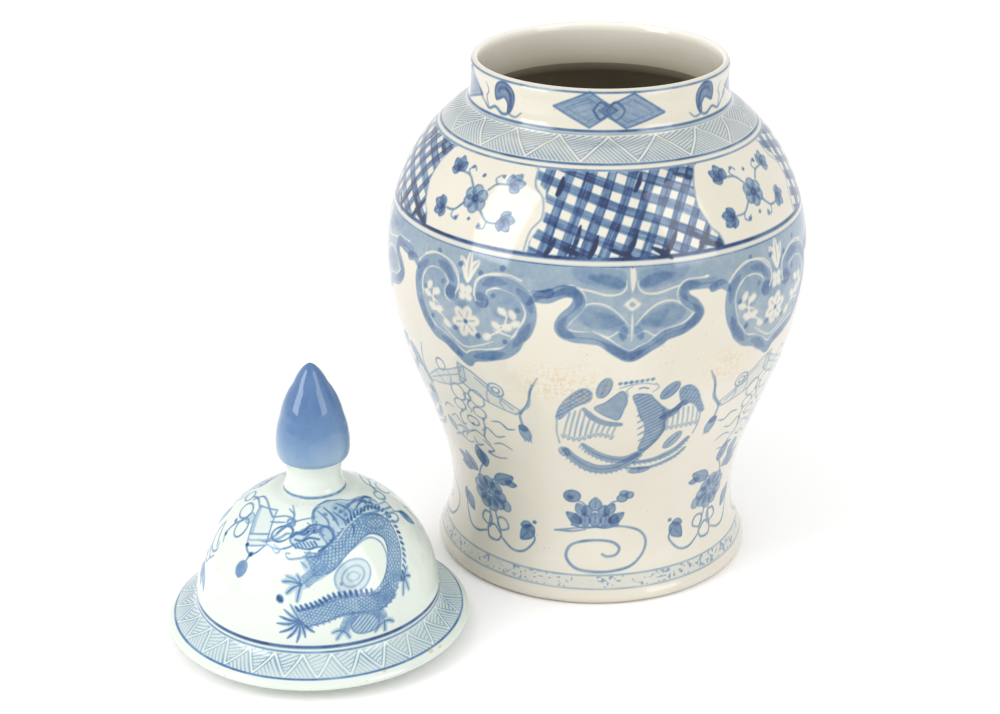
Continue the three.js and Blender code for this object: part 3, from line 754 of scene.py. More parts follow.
# ---------------------------------------------------------------- the lid's painting
def dragon(p):
    """A scaled dragon coiling round a medallion."""
    mane = [(-13, 42), (-12, 49), (-8, 55), (-2, 59), (6, 58.5), (12, 54), (20, 52), (27, 48), (33, 42),
            (27, 39), (18, 40), (13, 37), (8, 38), (2, 32), (-3, 27), (-9, 31)]
    p.fill(mane, 0.17, 0.46)
    p.fill([(-2, 48), (2, 56), (8, 55), (12, 48), (8, 42), (1, 41)], 0.12)
    for x0, y0, x1, y1, x2, y2 in ((8, 50, 16, 52, 24, 48), (11, 46, 20, 49, 29, 43),
                                   (14, 43, 22, 45, 30, 39.5), (4, 44, 8, 38, 6, 32), (0, 50, 4, 43, 4, 36),
                                   (-4, 54, -1, 47, 0, 40), (-8, 52, -5, 46, -5, 41), (4, 55, 9, 49, 9, 43),
                                   (-6, 57, 0, 60, 6, 58), (-12, 46, -10, 52, -5, 56),
                                   (17, 49, 24, 50, 31, 46)):
        p.line([(x0, y0), (x1, y1), (x2, y2)], 1.4, 0.66, (0.5, 0.3))
    p.dots([(2, 52), (4, 49), (-1, 45), (6, 46), (20, 50), (23, 47), (27, 45), (10, 51), (-5, 49)], 2.4, 0.60)
    p.line([(-11, 45), (-13, 41), (-16, 44)], 1.2, 0.5)
    p.fill([(-29, 34), (-25, 37.5), (-20, 38.6), (-16, 42), (-11, 43), (-6, 40), (-5, 34), (-10, 30),
            (-16, 29.5), (-20, 28.5), (-25, 29), (-28.5, 30.5)], 0.12, 0.70, 1.0)
    p.line([(-28, 35), (-24, 37.5), (-20, 37), (-17, 39)], 1.6, 0.76)
    p.line([(-26, 33.5), (-22, 33.2), (-18, 35), (-13, 34)], 1.3, 0.74)
    for k in range(7):
        p.line([(-28 + 2.0 * k, 31.0 + 0.3 * k), (-27.2 + 2.0 * k, 28.8 + 0.3 * k)], 1.0, 0.76)
    p.ring(-14, 39.4, 3.6, 3.2, 0, 0.8, 0.62)
    p.dots([(-14.2, 39.3)], 1.5, 0.80)
    p.line([(-24, 37), (-20, 39.5), (-16, 41)], 1.4, 0.56)
    p.line([(-10, 36), (-11, 39.5), (-7, 41.5), (-4, 38.5), (-5, 34), (-9, 30.5), (-15, 27)], 1.4, 0.64)
    for pts in ([(-26, 36.5), (-30, 36.5), (-34, 34), (-39, 31.5), (-45, 29.5), (-50, 29)],
                [(-45, 29.5), (-38, 34), (-31, 40), (-25, 44), (-22, 49), (-21, 55)], [(-22, 49), (-24, 52)],
                [(-40, 29), (-37, 26.5), (-40, 24.5), (-42, 27)],
                [(-20, 27), (-24, 24), (-28, 23), (-33, 22.5), (-34, 25), (-31.5, 25.5)],
                [(-9, 27), (-16, 26), (-23, 26.5)], [(-24, 24), (-17, 24), (-11, 26)]):
        p.line(pts, 1.2, 0.48, (0.9, 0.7))
    p.ring(-25.5, 43.5, 4.6, 3.6, 30, 1.0, 0.50)
    body = [(-22, 19), (-14, 20), (-6, 26), (1, 31), (8, 34.5), (16, 36), (24, 33), (29.5, 27), (30.5, 19),
            (28, 11), (24, 4), (18, -2), (10, -6)]
    lower = [(22, -2), (12, -6), (0, -4.5), (-10, -4), (-20, -7), (-33, -10)]
    for pts, w in ((body, 11.5), (lower, 9.5)):
        p.line(pts, w, 0.17, (0.8, 0.7))
        fine = curve(pts, 1.7)
        for k, (a, _, d, n) in enumerate(stations(fine)):
            for j in (-1.5, -0.75, 0.0, 0.75, 1.5):
                p.scale(a + n * (j + (0.37 if k % 2 else 0)) * w * 0.26, d, n, 0.95, 0.7, 0.60)
        run = np.gradient(fine, axis=0)
        aside = np.stack([-run[:, 1], run[:, 0]], 1) / np.maximum(np.hypot(*run.T), TINY)[:, None]
        for side in (-0.46, 0.46):
            p.line(fine + aside * w * side, 0.9, 0.66, (0.6, 0.6), smooth=False)
    back = [(-2, 33), (6, 39.5), (16, 42.2), (26, 39.5), (34, 31), (36, 20), (33, 9), (27, 0)]
    p.line(back, 1.6, 0.9, white=True)
    p.line([(x * 0.985, y * 0.985 + 0.1) for x, y in back], 0.8, 0.62)
    spine = curve([(6, 41), (16, 44), (28, 41), (36, 32), (37.6, 20), (35, 9), (28, -1)], 3.2)
    for a, step, _, n in stations(spine):
        p.line([a, a + n * 2.4 + step * 0.6], 1.5, 0.74, (1, 0.3))
    p.line([(-13, 15), (-5, 21), (3, 25.5), (11, 28.6), (17, 28), (22, 23), (23, 15), (20, 7)], 1.0, 0.46)
    tail = curve([(-33, -5), (-22, -2), (-12, 1.5), (0, 1), (12, -1)], 3.2)
    p.line(tail, 1.1, 0.62, smooth=False)
    for a, step, _, n in stations(tail):
        p.line([a, a + n * 2.6 - step * 0.3], 1.7, 0.78, (1, 0.3))
    p.line([(-31, -14), (-20, -11.5), (-10, -9), (0, -9.5), (10, -11), (20, -8)], 0.9, 0.50)
    for tip in ((-37, -2), (-41, -5), (-44, -9), (-46, -13), (-45, -18), (-41, -21), (-36, -23), (-31, -20),
                (-26, -17)):
        mid = ((-33 + tip[0]) / 2 + 0.5, (-10 + tip[1]) / 2 - 1.2)
        p.line([(-31, -10), mid, tip], 2.6, 0.24, (1, 0.3))
        p.line([(-33, -10.5), mid, tip], 1.1, 0.76, (0.6, 0.5))
    for pts, w in (([(-13, 19), (-20, 15), (-28, 9.5)], 8), ([(22, 4), (28, 3), (33, 0)], 7),
                   ([(-4, -9), (-8, -14), (-10, -18)], 7), ([(8, -9), (12, -13), (14, -17)], 7)):
        p.line(pts, w, 0.19, (1, 0.7))
        p.line(pts, 0.9, 0.52)
        for a, _, d, n in stations(curve(pts, 1.8)):
            for j in (-0.26, 0.0, 0.26):
                p.scale(a + n * j * w, d, n, 0.9, 0.6, 0.58)
    for x0, y0, tips in ((-29, 9, ((-36, 13), (-39, 10), (-38, 4), (-33, 0), (-30, 14))),
                         (32, 0, ((36, 4), (37, -1), (34, -7), (29, -8))),
                         (-10, -18, ((-16, -18), (-14, -22), (-7, -22))),
                         (14, -18, ((8, -22), (14, -23), (20, -20)))):
        for tip in tips:
            claw = [(x0, y0), ((x0 + tip[0]) / 2, (y0 + tip[1]) / 2 + 0.8), tip]
            p.line(claw, 3.6, 0.20, (1, 0.7))
            p.line(claw, 0.9, 0.70, (1, 0.8))
    haunch = [(-5, -12), (3, -10.5), (11, -13), (9, -20), (0, -21), (-5, -18)]
    p.fill(haunch, 0.20, 0.56)
    p.hatch(haunch, 40, 1.9, 0.8, 0.60)
    p.oval(0, 11, 22, 17, 25, 0.13, 0.38, 1.1)
    p.ring(0, 11, 14, 10, 25, 1.1, 0.38)
    p.line([(3, 12), (0, 13.5), (-3.5, 11.5), (-2, 8.8), (2, 9), (4, 11)], 0.9, 0.34)
    p.dots([(-7.5, 8)], 1.8, 0.5)
    p.oval(-42.5, 0.5, 4.2, 4.4, 0, 0.80)
    for x, y in ((-21, 21), (-24, 18.5), (-18, 18), (-15, 22), (-19, 15)):
        p.line([(x, y), (x - 2.5, y + 3)], 1.4, 0.5, (1, 0.4))


def lid_scroll(p):
    """A tied scroll with cords, a tassel and a flourish on the dome."""
    roll = [(-11, 46), (2, 49), (8, 34), (-4, 30)]
    p.fill(roll, 0.05, 0.52, 0.9, smooth=False)
    p.line([(-9.6, 45.6), (-2.8, 31)], 2.4, 0.30, (1, 1), smooth=False)
    p.fill([(-4, 30), (8, 34), (10.5, 27.5), (-1.5, 23.5)], 0.05, 0.48, 0.9, smooth=False)
    p.line([(-2.6, 26.6), (9.3, 30.6)], 1.0, 0.34)
    for pts in ([(-26, 44), (-18, 47), (-10, 45)], [(-22, 44), (-16, 50), (-8, 50), (3, 44)],
                [(3, 44), (10, 47), (17, 45)], [(4, 41), (12, 43)], [(12, 36), (18, 45), (26, 48)],
                [(-1.5, 23.5), (1, 21), (4, 20)], [(10, 27), (7, 22), (4, 20), (3, 16)],
                [(11, 28), (19, 27), (26, 31), (31, 38), (36, 39)]):
        p.line(pts, 1.1, 0.58, (0.9, 0.7))
    for x, y, w, h, tilt in ((-19, 38, 12, 9, 25), (-13, 30, 9, 12, -15), (15, 36, 11, 10, 10)):
        p.ring(x, y, w, h, tilt, 1.2, 0.60)
    p.oval(-11, 37, 6.5, 6.5, 0, 0.18, 0.42)
    p.line([(-15, 34), (-21, 28), (-24, 21), (-22, 17)], 1.5, 0.56, (0.9, 0.5))
    p.dots([(-1.5, 24), (-22, 30), (4, 20), (-24, 21)], 2.4, 0.78)
    p.oval(2, 11, 7, 9, -8, 0.34, 0.52)
    p.leaf(2, 15, 2, 6, 5, 0.22, 0.5)
    for pts in ([(-33, 24), (-36, 18), (-35, 11), (-30, 8), (-25, 11), (-26, 15)],
                [(-33, 24), (-30, 17), (-27, 12)], [(-36, 12), (-31, 4), (-26, 7)]):
        p.line(pts, 1.4, 0.50, (0.7, 0.7))
    for leaf in ((-36, -2, -40, -12, 5), (-36, -2, -36, -15, 5), (-34, -4, -28, -14, 5)):
        p.leaf(*leaf, dark=0.38, outline=0.54)
    for pts in ([(-38, 4), (-34, 0), (-30, 4)], [(-36, 8), (-36, 0), (-34, -6)],
                [(-34, -6), (-29, -10), (-28, -16)]):
        p.line(pts, 1.2, 0.46, (0.9, 0.5))


def dome_sprig(p):
    """A rolled scroll with a loop, high on the dome."""
    p.fill([(-16, 8), (10, -2), (8, -9), (-18, 1)], 0.06, 0.46, 1.0, smooth=False)
    p.line([(-17, 4), (9, -6)], 1.4, 0.50)
    for x, y, w, h, tilt in ((-12, -6, 12, 7, -20), (2, -10, 10, 6, -20), (12, 2, 9, 6, -30)):
        p.ring(x, y, w, h, tilt, 1.3, 0.50)
    for pts in ([(-20, 8), (-12, 12), (-4, 10)], [(8, -9), (14, -14), (16, -20)],
                [(-18, 1), (-22, -4), (-20, -10)]):
        p.line(pts, 1.3, 0.50, (0.8, 0.5))
    p.leaf(12, -12, 18, -24, 6, 0.46, 0.60)


# ---------------------------------------------------------------- where the painting goes
# heights are mm up the outline, measured along the surface; bearings are degrees from the front
WASH_BAND, WASH_GAP = (221, 233), (230.3, 232.6)
FOOT_BORDER = (12.5, 18.8)
SHOULDER_ZIGZAG = (287.2, 304.4)
PEONY_AT, LOTUS_AT, MEDALLION_AT, PENDANT_AT, PANEL_AT, NECK_AT = 62.9, 50.8, 130, 188.2, 261.2, 317.6
JAR_RINGS = ((11.5, 0.9, 0.30), (19.5, 1.0, 0.34), (229.7, 1.0, 0.62), (233.9, 1.9, 0.82), (282.2, 1.1, 0.55),
             (285.7, 1.4, 0.70), (305.4, 0.8, 0.40), (307.2, 1.5, 0.72),
             (328.4, 1.1, 0.62))   # height, width, dark
JAR_STAINS = ((-9, 159, 30, 14), (39, 163, 17, 12), (110, 160, 30, 14), (205, 162, 26, 12))
LID_RINGS = ((8.8, 1.2, 0.66), (24.9, 1.2, 0.52), (28.0, 2.0, 0.78), (116.9, 1.5, 0.52))
RIM_ZIGZAG = (9.6, 24.0)
DRAGON_AT, SPRIG_AT = 54, 94
RIM_CHIPS = ((46, 7.2, 2.6), (51, 6.4, 1.8), (24, 7.6, 1.4), (-150, 7.6, 2.4))
BUD_FROM = 107.2         # mm, the z where the bud's blue begins


def foot_border(c):
    """Broken dashes over paler patches, between the two lowest rings."""
    rows, X, S = c.band(*FOOT_BORDER)
    broken = value_noise(X / 1.5, S / 1.15, 71) * (0.55 + 0.45 * value_noise(X / 9, S / 9, 72))
    c.darken(rows, 0.38 * np.clip((broken - 0.50) / 0.14, 0, 1))
    c.darken(rows, 0.05)


def jar_stains(c):
    """Faint ochre freckles in patches under the pendants: bearing, height and half sizes of each."""
    for bearing, s0, half_w, half_h in JAR_STAINS:
        pen = Pen(c, bearing, s0)
        where, X, Y = pen.patch(np.array([(-half_w, -half_h), (half_w, half_h)]), 2)
        fade = np.exp(-((X / half_w) ** 2 + (Y / half_h) ** 2) * 1.3)
        grain = value_noise(X / 0.9, Y / 2.2, 81) * value_noise(X / 2.6 + 9, Y / 0.8, 82)
        pen.stain(where, 0.62 * fade * np.clip((grain - 0.17) / 0.22, 0, 1))


def paint_jar(c):
    """The jar from the pendants up to the neck, then the medallions, flowers, foot and stains."""
    tone = 0.34 * (0.86 + 0.3 * value_noise(c.angle * 9, 0, 61))
    c.ink[c.rows(*WASH_BAND)] = tone[None, :]
    around(trefoil, c, quarters(8), PENDANT_AT)
    around(ruyi, c, quarters(-38), PENDANT_AT)
    c.ink[c.rows(*WASH_GAP)] = 0.04
    around(lattice, c, quarters(7), PANEL_AT)
    around(cartouche, c, quarters(-38), PANEL_AT)
    for s, width, dark in JAR_RINGS:
        c.ring(s, width, dark, int(s))
    zigzag(c, *SHOULDER_ZIGZAG, 18, 0.30)
    around(neck_sign, c, quarters(0), NECK_AT)
    around(neck_sprig, c, (-45, 52, 135, 231), NECK_AT, mirrored=(1, 2), seeds=(19, 20, 21, 22))
    around(phoenix, c, quarters(8), MEDALLION_AT, weight=0.96)
    around(scroll, c, (-42, 60, 138, 240), MEDALLION_AT, mirrored=(1, 3))
    around(lotus, c, quarters(0), LOTUS_AT)
    around(peony, c, (-49, 59, 132, 239), PEONY_AT, mirrored=(1, 3))
    foot_border(c)
    jar_stains(c)


def bud_wash(c):
    """A deep wash on the bud that thins over its lower swelling."""
    start = float(np.interp(BUD_FROM, c.z, c.s))
    rows = slice(np.searchsorted(c.s, start), len(c.s))
    u = ((c.s[rows] - start) / (c.s[-1] - start))[:, None]
    X = c.angle[None, :]
    scallop = 0.05 * np.sin(X * 3 + 0.6) + 0.05 * (value_noise(X * 3 + 5, u * 4, 51) - 0.5)
    tone = np.interp(u + scallop, (0, 0.08, 0.18, 0.30, 0.60, 0.88, 1.08),
                     (0.31, 0.35, 0.43, 0.52, 0.61, 0.60, 0.66))
    tone = tone + 0.03 * (value_noise(X * 5, u * 9, 52) - 0.5)
    spots = value_noise(X * 16, u * 24, 53)
    c.ink[rows] = np.clip(tone + 0.10 * np.clip((spots - 0.93) / 0.05, 0, 1), 0, 1)


def rim_chips(c):
    """Chips in the rim's glaze: bearing, height and size of each."""
    for bearing, s0, size in RIM_CHIPS:
        pen = Pen(c, bearing, s0)
        where, X, Y = pen.patch(np.array([(-size, -size / 2), (size, size / 2)]), 1)
        ragged = value_noise(X / 1.3, Y / 1.1, int(size * 9)) * 0.6
        mark = np.clip((1 - np.hypot(X / size, Y / (size * 0.45)) + ragged - 0.35) / 0.25, 0, 1)
        pen.stain(where, 0.8 * mark)


def paint_lid(c):
    """The lid from its rim up to the bud."""
    for s, width, dark in LID_RINGS:
        c.ring(s, width, dark, int(s))
    zigzag(c, *RIM_ZIGZAG, 28, 0.15, pitch=2.1, tone=0.40, width=0.52, patchy=1.1)
    around(dragon, c, (19, 199), DRAGON_AT, seeds=(3, 3))
    around(lid_scroll, c, (-48, 132), DRAGON_AT, seeds=(4, 4))
    around(dome_sprig, c, (66, 246), SPRIG_AT, seeds=(5, 5))
    bud_wash(c)
    rim_chips(c)


# ---------------------------------------------------------------- fine turned meshes
def facing_of(axis):
    """The angle round an axis that looks to the camera."""
    return math.atan2(camera.location.y - axis[1], camera.location.x - axis[0])


def build_canvas(nodes, axis, columns):
    """One canvas over the outside of some nodes, and the rows where each node starts and ends."""
    chains = [chain(n, axis, 1) for n in nodes]
    if chains[-1][-1][0] < ON_AXIS:
        chains[-1] = filled_out(blunt_tip(chains[-1], TIP_FROM, TIP_POWER))
    r, z, s = smooth_profile(sum(chains, []), ROW)
    canvas = Canvas(r, z, s, columns, facing_of(axis))
    seams = [0]
    for low, high in zip(chains[:-1], chains[1:]):
        gap = (low[-1][1] + high[0][1]) / 2
        seams.append(int(np.argmin(np.abs(z - gap) + np.abs(r - high[0][0]))))
    seams.append(len(s) - 1)
    canvas.seams = dict(zip(nodes, zip(seams[:-1], seams[1:])))
    return canvas


def inner_rings(node, axis, lower_z=None, upper_z=None):
    """Rings down a node's inside, from top to bottom, or none when the node is solid."""
    pts = chain(node, axis, -1)
    if not pts:
        return []
    if lower_z is not None:
        pts[0] = (pts[0][0], lower_z)
    if upper_z is not None:
        pts[-1] = (pts[-1][0], upper_z)
    rings = [pts[0]]
    for a, b in zip(pts[:-1], pts[1:]):
        n = max(1, int(math.hypot(b[0] - a[0], b[1] - a[1]) / INNER_ROW))
        rings += [(a[0] + (b[0] - a[0]) * k / n, a[1] + (b[1] - a[1]) * k / n) for k in range(1, n + 1)]
    return rings[::-1]


class Lathe:
    """A closed turned solid through rings of (r, z) in mm, going up the outside and down the inside.
    A first or last ring with no radius is a pole, one vertex that a fan of triangles meets at."""

    def __init__(self, name, axis, columns, rings):
        self.rings = [(max(r, 0.0), z) for r, z in rings]
        self.low_pole, self.high_pole = (int(self.rings[k][0] < ON_AXIS) for k in (0, -1))
        self.poles = [self.rings[0]] * self.low_pole + [self.rings[-1]] * self.high_pole
        self.section = np.array(self.rings[self.low_pole:len(rings) - self.high_pole])
        self.n, self.m = columns, len(self.section)
        self.last = self.m - 1 if self.poles else self.m
        self.column = np.arange(columns)
        self.i, self.j = np.meshgrid(np.arange(self.last), self.column, indexing="ij")
        self.mesh = bpy.data.meshes.new(name)
        self.build(self.vertices(axis), *self.faces())
        self.mark_corners()

    def vertices(self, axis):
        """Every ring's vertices, wandering a little inwards, then the poles."""
        r, z = self.section[:, :1], self.section[:, 1:]
        angle = (self.column * 2 * math.pi / self.n)[None, :]
        lump = value_noise(np.cos(angle) * 2.3 + 9, z / 38 + np.sin(angle) * 2.3 + 9, 91)
        r = r - WAVER * lump * np.clip(r / 40, 0, 1)
        x = axis[0] + r * np.cos(angle) * MM
        y = axis[1] + r * np.sin(angle) * MM
        co = np.stack([x, y, np.broadcast_to(z * MM, x.shape)], -1).reshape(-1, 3)
        return np.vstack([co] + [(axis[0], axis[1], pole[1] * MM) for pole in self.poles])

    def faces(self):
        """Four-sided faces between the rings, and the triangles of the poles."""
        n, m, i, j = self.n, self.m, self.i, self.j
        i2, j2 = (i + 1) % m, (j + 1) % n
        quads = np.stack([i * n + j, i * n + j2, i2 * n + j2, i2 * n + j], -1).reshape(-1, 4)
        here, beside = self.column, (self.column + 1) % n
        fans = [np.zeros((0, 3), int)]
        if self.low_pole:
            fans.append(np.stack([np.full(n, m * n), beside, here], 1))
        if self.high_pole:
            top = (m - 1) * n
            fans.append(np.stack([np.full(n, m * n + self.low_pole), top + here, top + beside], 1))
        return quads, np.vstack(fans)

    def build(self, co, quads, tris):
        mesh = self.mesh
        mesh.vertices.add(len(co))
        mesh.vertices.foreach_set("co", co.astype(np.float32).ravel())
        loops = np.concatenate([quads.ravel(), tris.ravel()])
        totals = np.repeat([4, 3], [len(quads), len(tris)])
        starts = np.cumsum(totals) - totals
        mesh.loops.add(len(loops))
        mesh.loops.foreach_set("vertex_index", loops.astype(np.int32))
        mesh.polygons.add(len(starts))
        mesh.polygons.foreach_set("loop_start", starts.astype(np.int32))
        mesh.polygons.foreach_set("loop_total", totals.astype(np.int32))
        mesh.update(calc_edges=True)
        mesh.polygons.foreach_set("use_smooth", np.ones(len(starts), bool))

    def mark_corners(self):
        """Sharp rings where the section turns a corner."""
        section = self.section
        before, after = section - np.roll(section, 1, 0), np.roll(section, -1, 0) - section
        turn = np.arctan2(after[:, 1], after[:, 0]) - np.arctan2(before[:, 1], before[:, 0])
        turn = np.abs((turn + math.pi) % FULL_TURN - math.pi)
        if self.poles:
            turn[0] = turn[-1] = 0
        if self.low_pole:
            d0, d1 = section[0] - np.array(self.rings[0]), section[1] - section[0]
            turn[0] = abs(math.atan2(d1[1], d1[0]) - math.atan2(d0[1], d0[0]))
        edges = read(self.mesh.edges, "vertices", 2, np.int32)
        ring_of = np.where(edges < self.m * self.n, edges // self.n, -1)
        sharp = (ring_of[:, 0] == ring_of[:, 1]) & (ring_of[:, 0] >= 0)
        sharp &= (turn > SHARP_TURN)[np.clip(ring_of[:, 0], 0, self.m - 1)]
        self.mesh.attributes.new("sharp_edge", "BOOLEAN", "EDGE").data.foreach_set("value", sharp)

    def paint(self, label, rows):
        """A value for each vertex. rows start with the first ring; what they don't reach is 0."""
        rows = np.asarray(rows)[:self.m]
        values = np.zeros((self.m, self.n), np.float32)
        values[:len(rows)] = rows if rows.ndim == 2 else rows[:, None]
        at_pole = values[-1].mean() if self.high_pole else 0
        values = np.concatenate([values.ravel(), np.full(len(self.poles), at_pole, np.float32)])
        self.mesh.attributes.new(label, "FLOAT", "POINT").data.foreach_set("value", values)

    def unroll(self):
        """The flat map: strips of the circumference stacked one over another."""
        n, section = self.n, self.section
        steps = np.hypot(*(np.roll(section, -1, 0) - section).T)
        height = np.concatenate([[0], np.cumsum(steps)])[:self.last + 1]
        low_fan = self.rings[1][0] if self.low_pole else 0.0
        high_fan = section[-1][0] if self.high_pole else 0.0
        total = low_fan + height[-1] + high_fan
        strips = max(1, int(round(math.sqrt(FULL_TURN * section[:, 0].max() / total))))
        while n % strips:
            strips -= 1
        per = n // strips

        def u_at(k):
            return k / per * (1 - 2 * MAP_GAP) + MAP_GAP

        def v_at(strip, distance):
            return strip / strips + (distance / total * (1 / strips - 2 * MAP_GAP) + MAP_GAP)

        strip, k = self.j // per, self.j % per
        left, right = u_at(k), u_at(k + 1)
        low, high = v_at(strip, low_fan + height[self.i]), v_at(strip, low_fan + height[self.i + 1])
        corners = [np.stack([left, low, right, low, right, high, left, high], -1).reshape(-1, 2)]
        strip, left, right = strip[0], left[0], right[0]
        middle = (left + right) / 2
        if self.low_pole:
            low, high = v_at(strip, 0.0), v_at(strip, low_fan)
            corners.append(np.stack([middle, low, right, high, left, high], -1).reshape(-1, 2))
        if self.high_pole:
            low, high = v_at(strip, low_fan + height[-1]), v_at(strip, total)
            corners.append(np.stack([middle, high, left, low, right, low], -1).reshape(-1, 2))
        layer = self.mesh.uv_layers.new(name="OFBake")
        layer.data.foreach_set("uv", np.concatenate(corners).astype(np.float32).ravel())


def turned(node, body, axis, columns, rings, material, ink=(), ochre=(), bare=(), deep=()):
    """The glazed solid that takes the place of one CAD node."""
    lathe = Lathe(node + "_glazed", axis, columns, rings)
    for label, rows in (("ink", ink), ("ochre", ochre), ("bare", bare), ("deep", deep)):
        lathe.paint(label, rows)
    lathe.unroll()
    lathe.mesh.materials.append(material)
    lathe.mesh.validate()
    piece = bpy.data.objects.new(node + "_glazed", lathe.mesh)
    bpy.context.scene.collection.objects.link(piece)
    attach(piece, body)
    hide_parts(node)


# ---------------------------------------------------------------- glaze materials
def linear(r, g, b):
    """0 to 255 screen values as a scene colour."""
    return tuple(((c / 255 + 0.055) / 1.055) ** 2.4 if c > 10.3 else c / 255 / 12.92 for c in (r, g,
                                                                                               b)) + (1.0,)


COBALT = ((0.0, (255, 255, 255)), (0.18, (204, 220, 238)), (0.36, (162, 189, 221)), (0.55, (116, 153, 201)),
          (0.75, (72, 110, 172)), (0.90, (38, 70, 132)), (1.0, (20, 42, 92)))   # strength and tint
INK_STRENGTH = 1.07      # how strongly the painted values show
CLAY, CLAY_ROUGHNESS = (198, 186, 168), 0.62
SPECK_COLOUR = (150, 138, 118)
OCHRE_COLOUR, OCHRE_STRENGTH = (200, 168, 108), 0.85
PAINTED_LIGHT_INSIDE, PAINTED_LIGHT_STRENGTH = (240, 236, 224), 0.9      # painted light just inside the mouth
PAINTED_SHADE_INSIDE = (158, 148, 126)         # painted shade deeper down inside the jar


class Nodes:
    """A material being put together from shader nodes."""

    def __init__(self, name):
        self.material = bpy.data.materials.new(name)
        self.material.use_nodes = True
        self.tree = self.material.node_tree
        self.tree.nodes.clear()
        out = self.tree.nodes.new("ShaderNodeOutputMaterial")
        self.bsdf = self.tree.nodes.new("ShaderNodeBsdfPrincipled")
        self.link(self.bsdf.outputs[0], out.inputs[0])
        self.where = self.tree.nodes.new("ShaderNodeTexCoord").outputs["Object"]

    def link(self, a, b):
        self.tree.links.new(a, b)

    def feed(self, socket, value):
        """Gives a socket a fixed value or links another node's output to it."""
        if isinstance(value, (int, float, tuple)):
            socket.default_value = value
        else:
            self.link(value, socket)

    def attribute(self, name):
        node = self.tree.nodes.new("ShaderNodeAttribute")
        node.attribute_name = name
        return node.outputs["Fac"]

    def noise(self, scale, detail=2.0, rough=0.5):
        node = self.tree.nodes.new("ShaderNodeTexNoise")
        for key, value in (("Scale", scale), ("Detail", detail), ("Roughness", rough),
                           ("Vector", self.where)):
            self.feed(node.inputs[key], value)
        return node.outputs["Fac"]

    def remap(self, value, a, b, c, d):
        """A value from a to b carried over to the range c to d."""
        node = self.tree.nodes.new("ShaderNodeMapRange")
        for key, x in zip(("Value", "From Min", "From Max", "To Min", "To Max"), (value, a, b, c, d)):
            self.feed(node.inputs[key], x)
        return node.outputs["Result"]

    def math(self, kind, a, b):
        node = self.tree.nodes.new("ShaderNodeMath")
        node.operation = kind
        self.feed(node.inputs[0], a)
        self.feed(node.inputs[1], b)
        return node.outputs[0]

    def ramp(self, value, stops):
        node = self.tree.nodes.new("ShaderNodeValToRGB")
        elements = node.color_ramp.elements
        while len(elements) < len(stops):
            elements.new(0.5)
        for element, (at, colour) in zip(elements, stops):
            element.position = at
            element.color = linear(*colour)
        self.link(value, node.inputs["Fac"])
        return node.outputs["Color"]

    def mix(self, factor, a, b, kind="MIX"):
        node = self.tree.nodes.new("ShaderNodeMix")
        node.data_type, node.blend_type = "RGBA", kind
        self.feed(node.inputs["Factor"], factor)
        for key, x in (("A", a), ("B", b)):
            self.feed([s for s in node.inputs if s.name == key and s.type == "RGBA"][0], x)
        return [s for s in node.outputs if s.type == "RGBA"][0]


def glaze(name, light, shade, roughness=0.09, mottle=1.0):
    """Clear glaze over painted porcelain, with bare clay where the glaze was wiped away, and painted light
    and shade on the jar's inside.
    """
    k = Nodes(name)
    broad = k.remap(k.noise(14, 3, 0.55), 0.30, 0.70, 0, 1)
    base = k.mix(broad, linear(*shade), linear(*light))
    speck = k.remap(k.noise(900, 1, 0.4), 0.735, 0.765, 0, 1)
    rare = k.remap(k.noise(70, 2, 0.5), 0.55, 0.62, 0, 1)
    base = k.mix(k.math("MULTIPLY", speck, rare), base, linear(*SPECK_COLOUR))
    ink = k.attribute("ink")
    low, high = INK_STRENGTH - 0.12 * mottle, INK_STRENGTH + 0.11 * mottle
    ink = k.math("MULTIPLY", ink, k.remap(k.noise(260, 4, 0.65), 0.3, 0.7, low, high))
    low, high = 1 - 0.09 * mottle, 1 + 0.08 * mottle
    ink = k.math("MULTIPLY", ink, k.remap(k.noise(55, 3, 0.6), 0.3, 0.7, low, high))
    painted = k.mix(1.0, base, k.ramp(ink, COBALT), "MULTIPLY")
    ochre = k.math("MULTIPLY", k.attribute("ochre"), OCHRE_STRENGTH)
    stain_and_painted_light = k.mix(ochre, painted, linear(*OCHRE_COLOUR))
    # Painted light just inside the mouth and painted shade deeper down the jar, both set by the deep
    # attribute.
    painted_shade_mottle = k.remap(k.noise(25, 4, 0.6), 0.3, 0.7, 0.80, 0.92)
    deep = k.attribute("deep")
    stain_and_painted_light = k.mix(k.remap(deep, -1, 0, PAINTED_LIGHT_STRENGTH, 0), stain_and_painted_light, linear(*PAINTED_LIGHT_INSIDE))
    stain_and_painted_light = k.mix(k.math("MULTIPLY", k.math("MAXIMUM", deep, 0.0), painted_shade_mottle), stain_and_painted_light, linear(*PAINTED_SHADE_INSIDE))
    bare = k.attribute("bare")
    grain = k.remap(k.noise(1500, 3, 0.7), 0.35, 0.65, 0, 1)
    grit = k.mix(grain, linear(*[int(c * 0.86) for c in CLAY]), linear(*CLAY))
    k.link(k.mix(bare, stain_and_painted_light, grit), k.bsdf.inputs["Base Color"])
    gloss = k.remap(k.noise(120, 3, 0.6), 0.3, 0.7, roughness * 0.8, roughness * 1.35)
    matt = k.remap(bare, 0, 1, 0, CLAY_ROUGHNESS)
    k.link(k.math("ADD", gloss, matt), k.bsdf.inputs["Roughness"])
    for key, value in (("IOR", 1.5), ("Coat Weight", 0.35), ("Coat Roughness", 0.05)):
        k.bsdf.inputs[key].default_value = value
    broad_ripple = k.math("MULTIPLY", k.noise(38, 2, 0.5), 1.0)
    ripple = k.math("ADD", broad_ripple, k.math("MULTIPLY", k.noise(420, 2, 0.5), 0.05))
    rough_clay = k.math("MULTIPLY", bare, k.noise(1800, 3, 0.7))
    bump = k.tree.nodes.new("ShaderNodeBump")
    for key, value in (("Strength", 0.35), ("Distance", 0.0006), ("Height",
                                                                  k.math("ADD", ripple, rough_clay))):
        k.feed(bump.inputs[key], value)
    k.link(bump.outputs["Normal"], k.bsdf.inputs["Normal"])
    return k.material


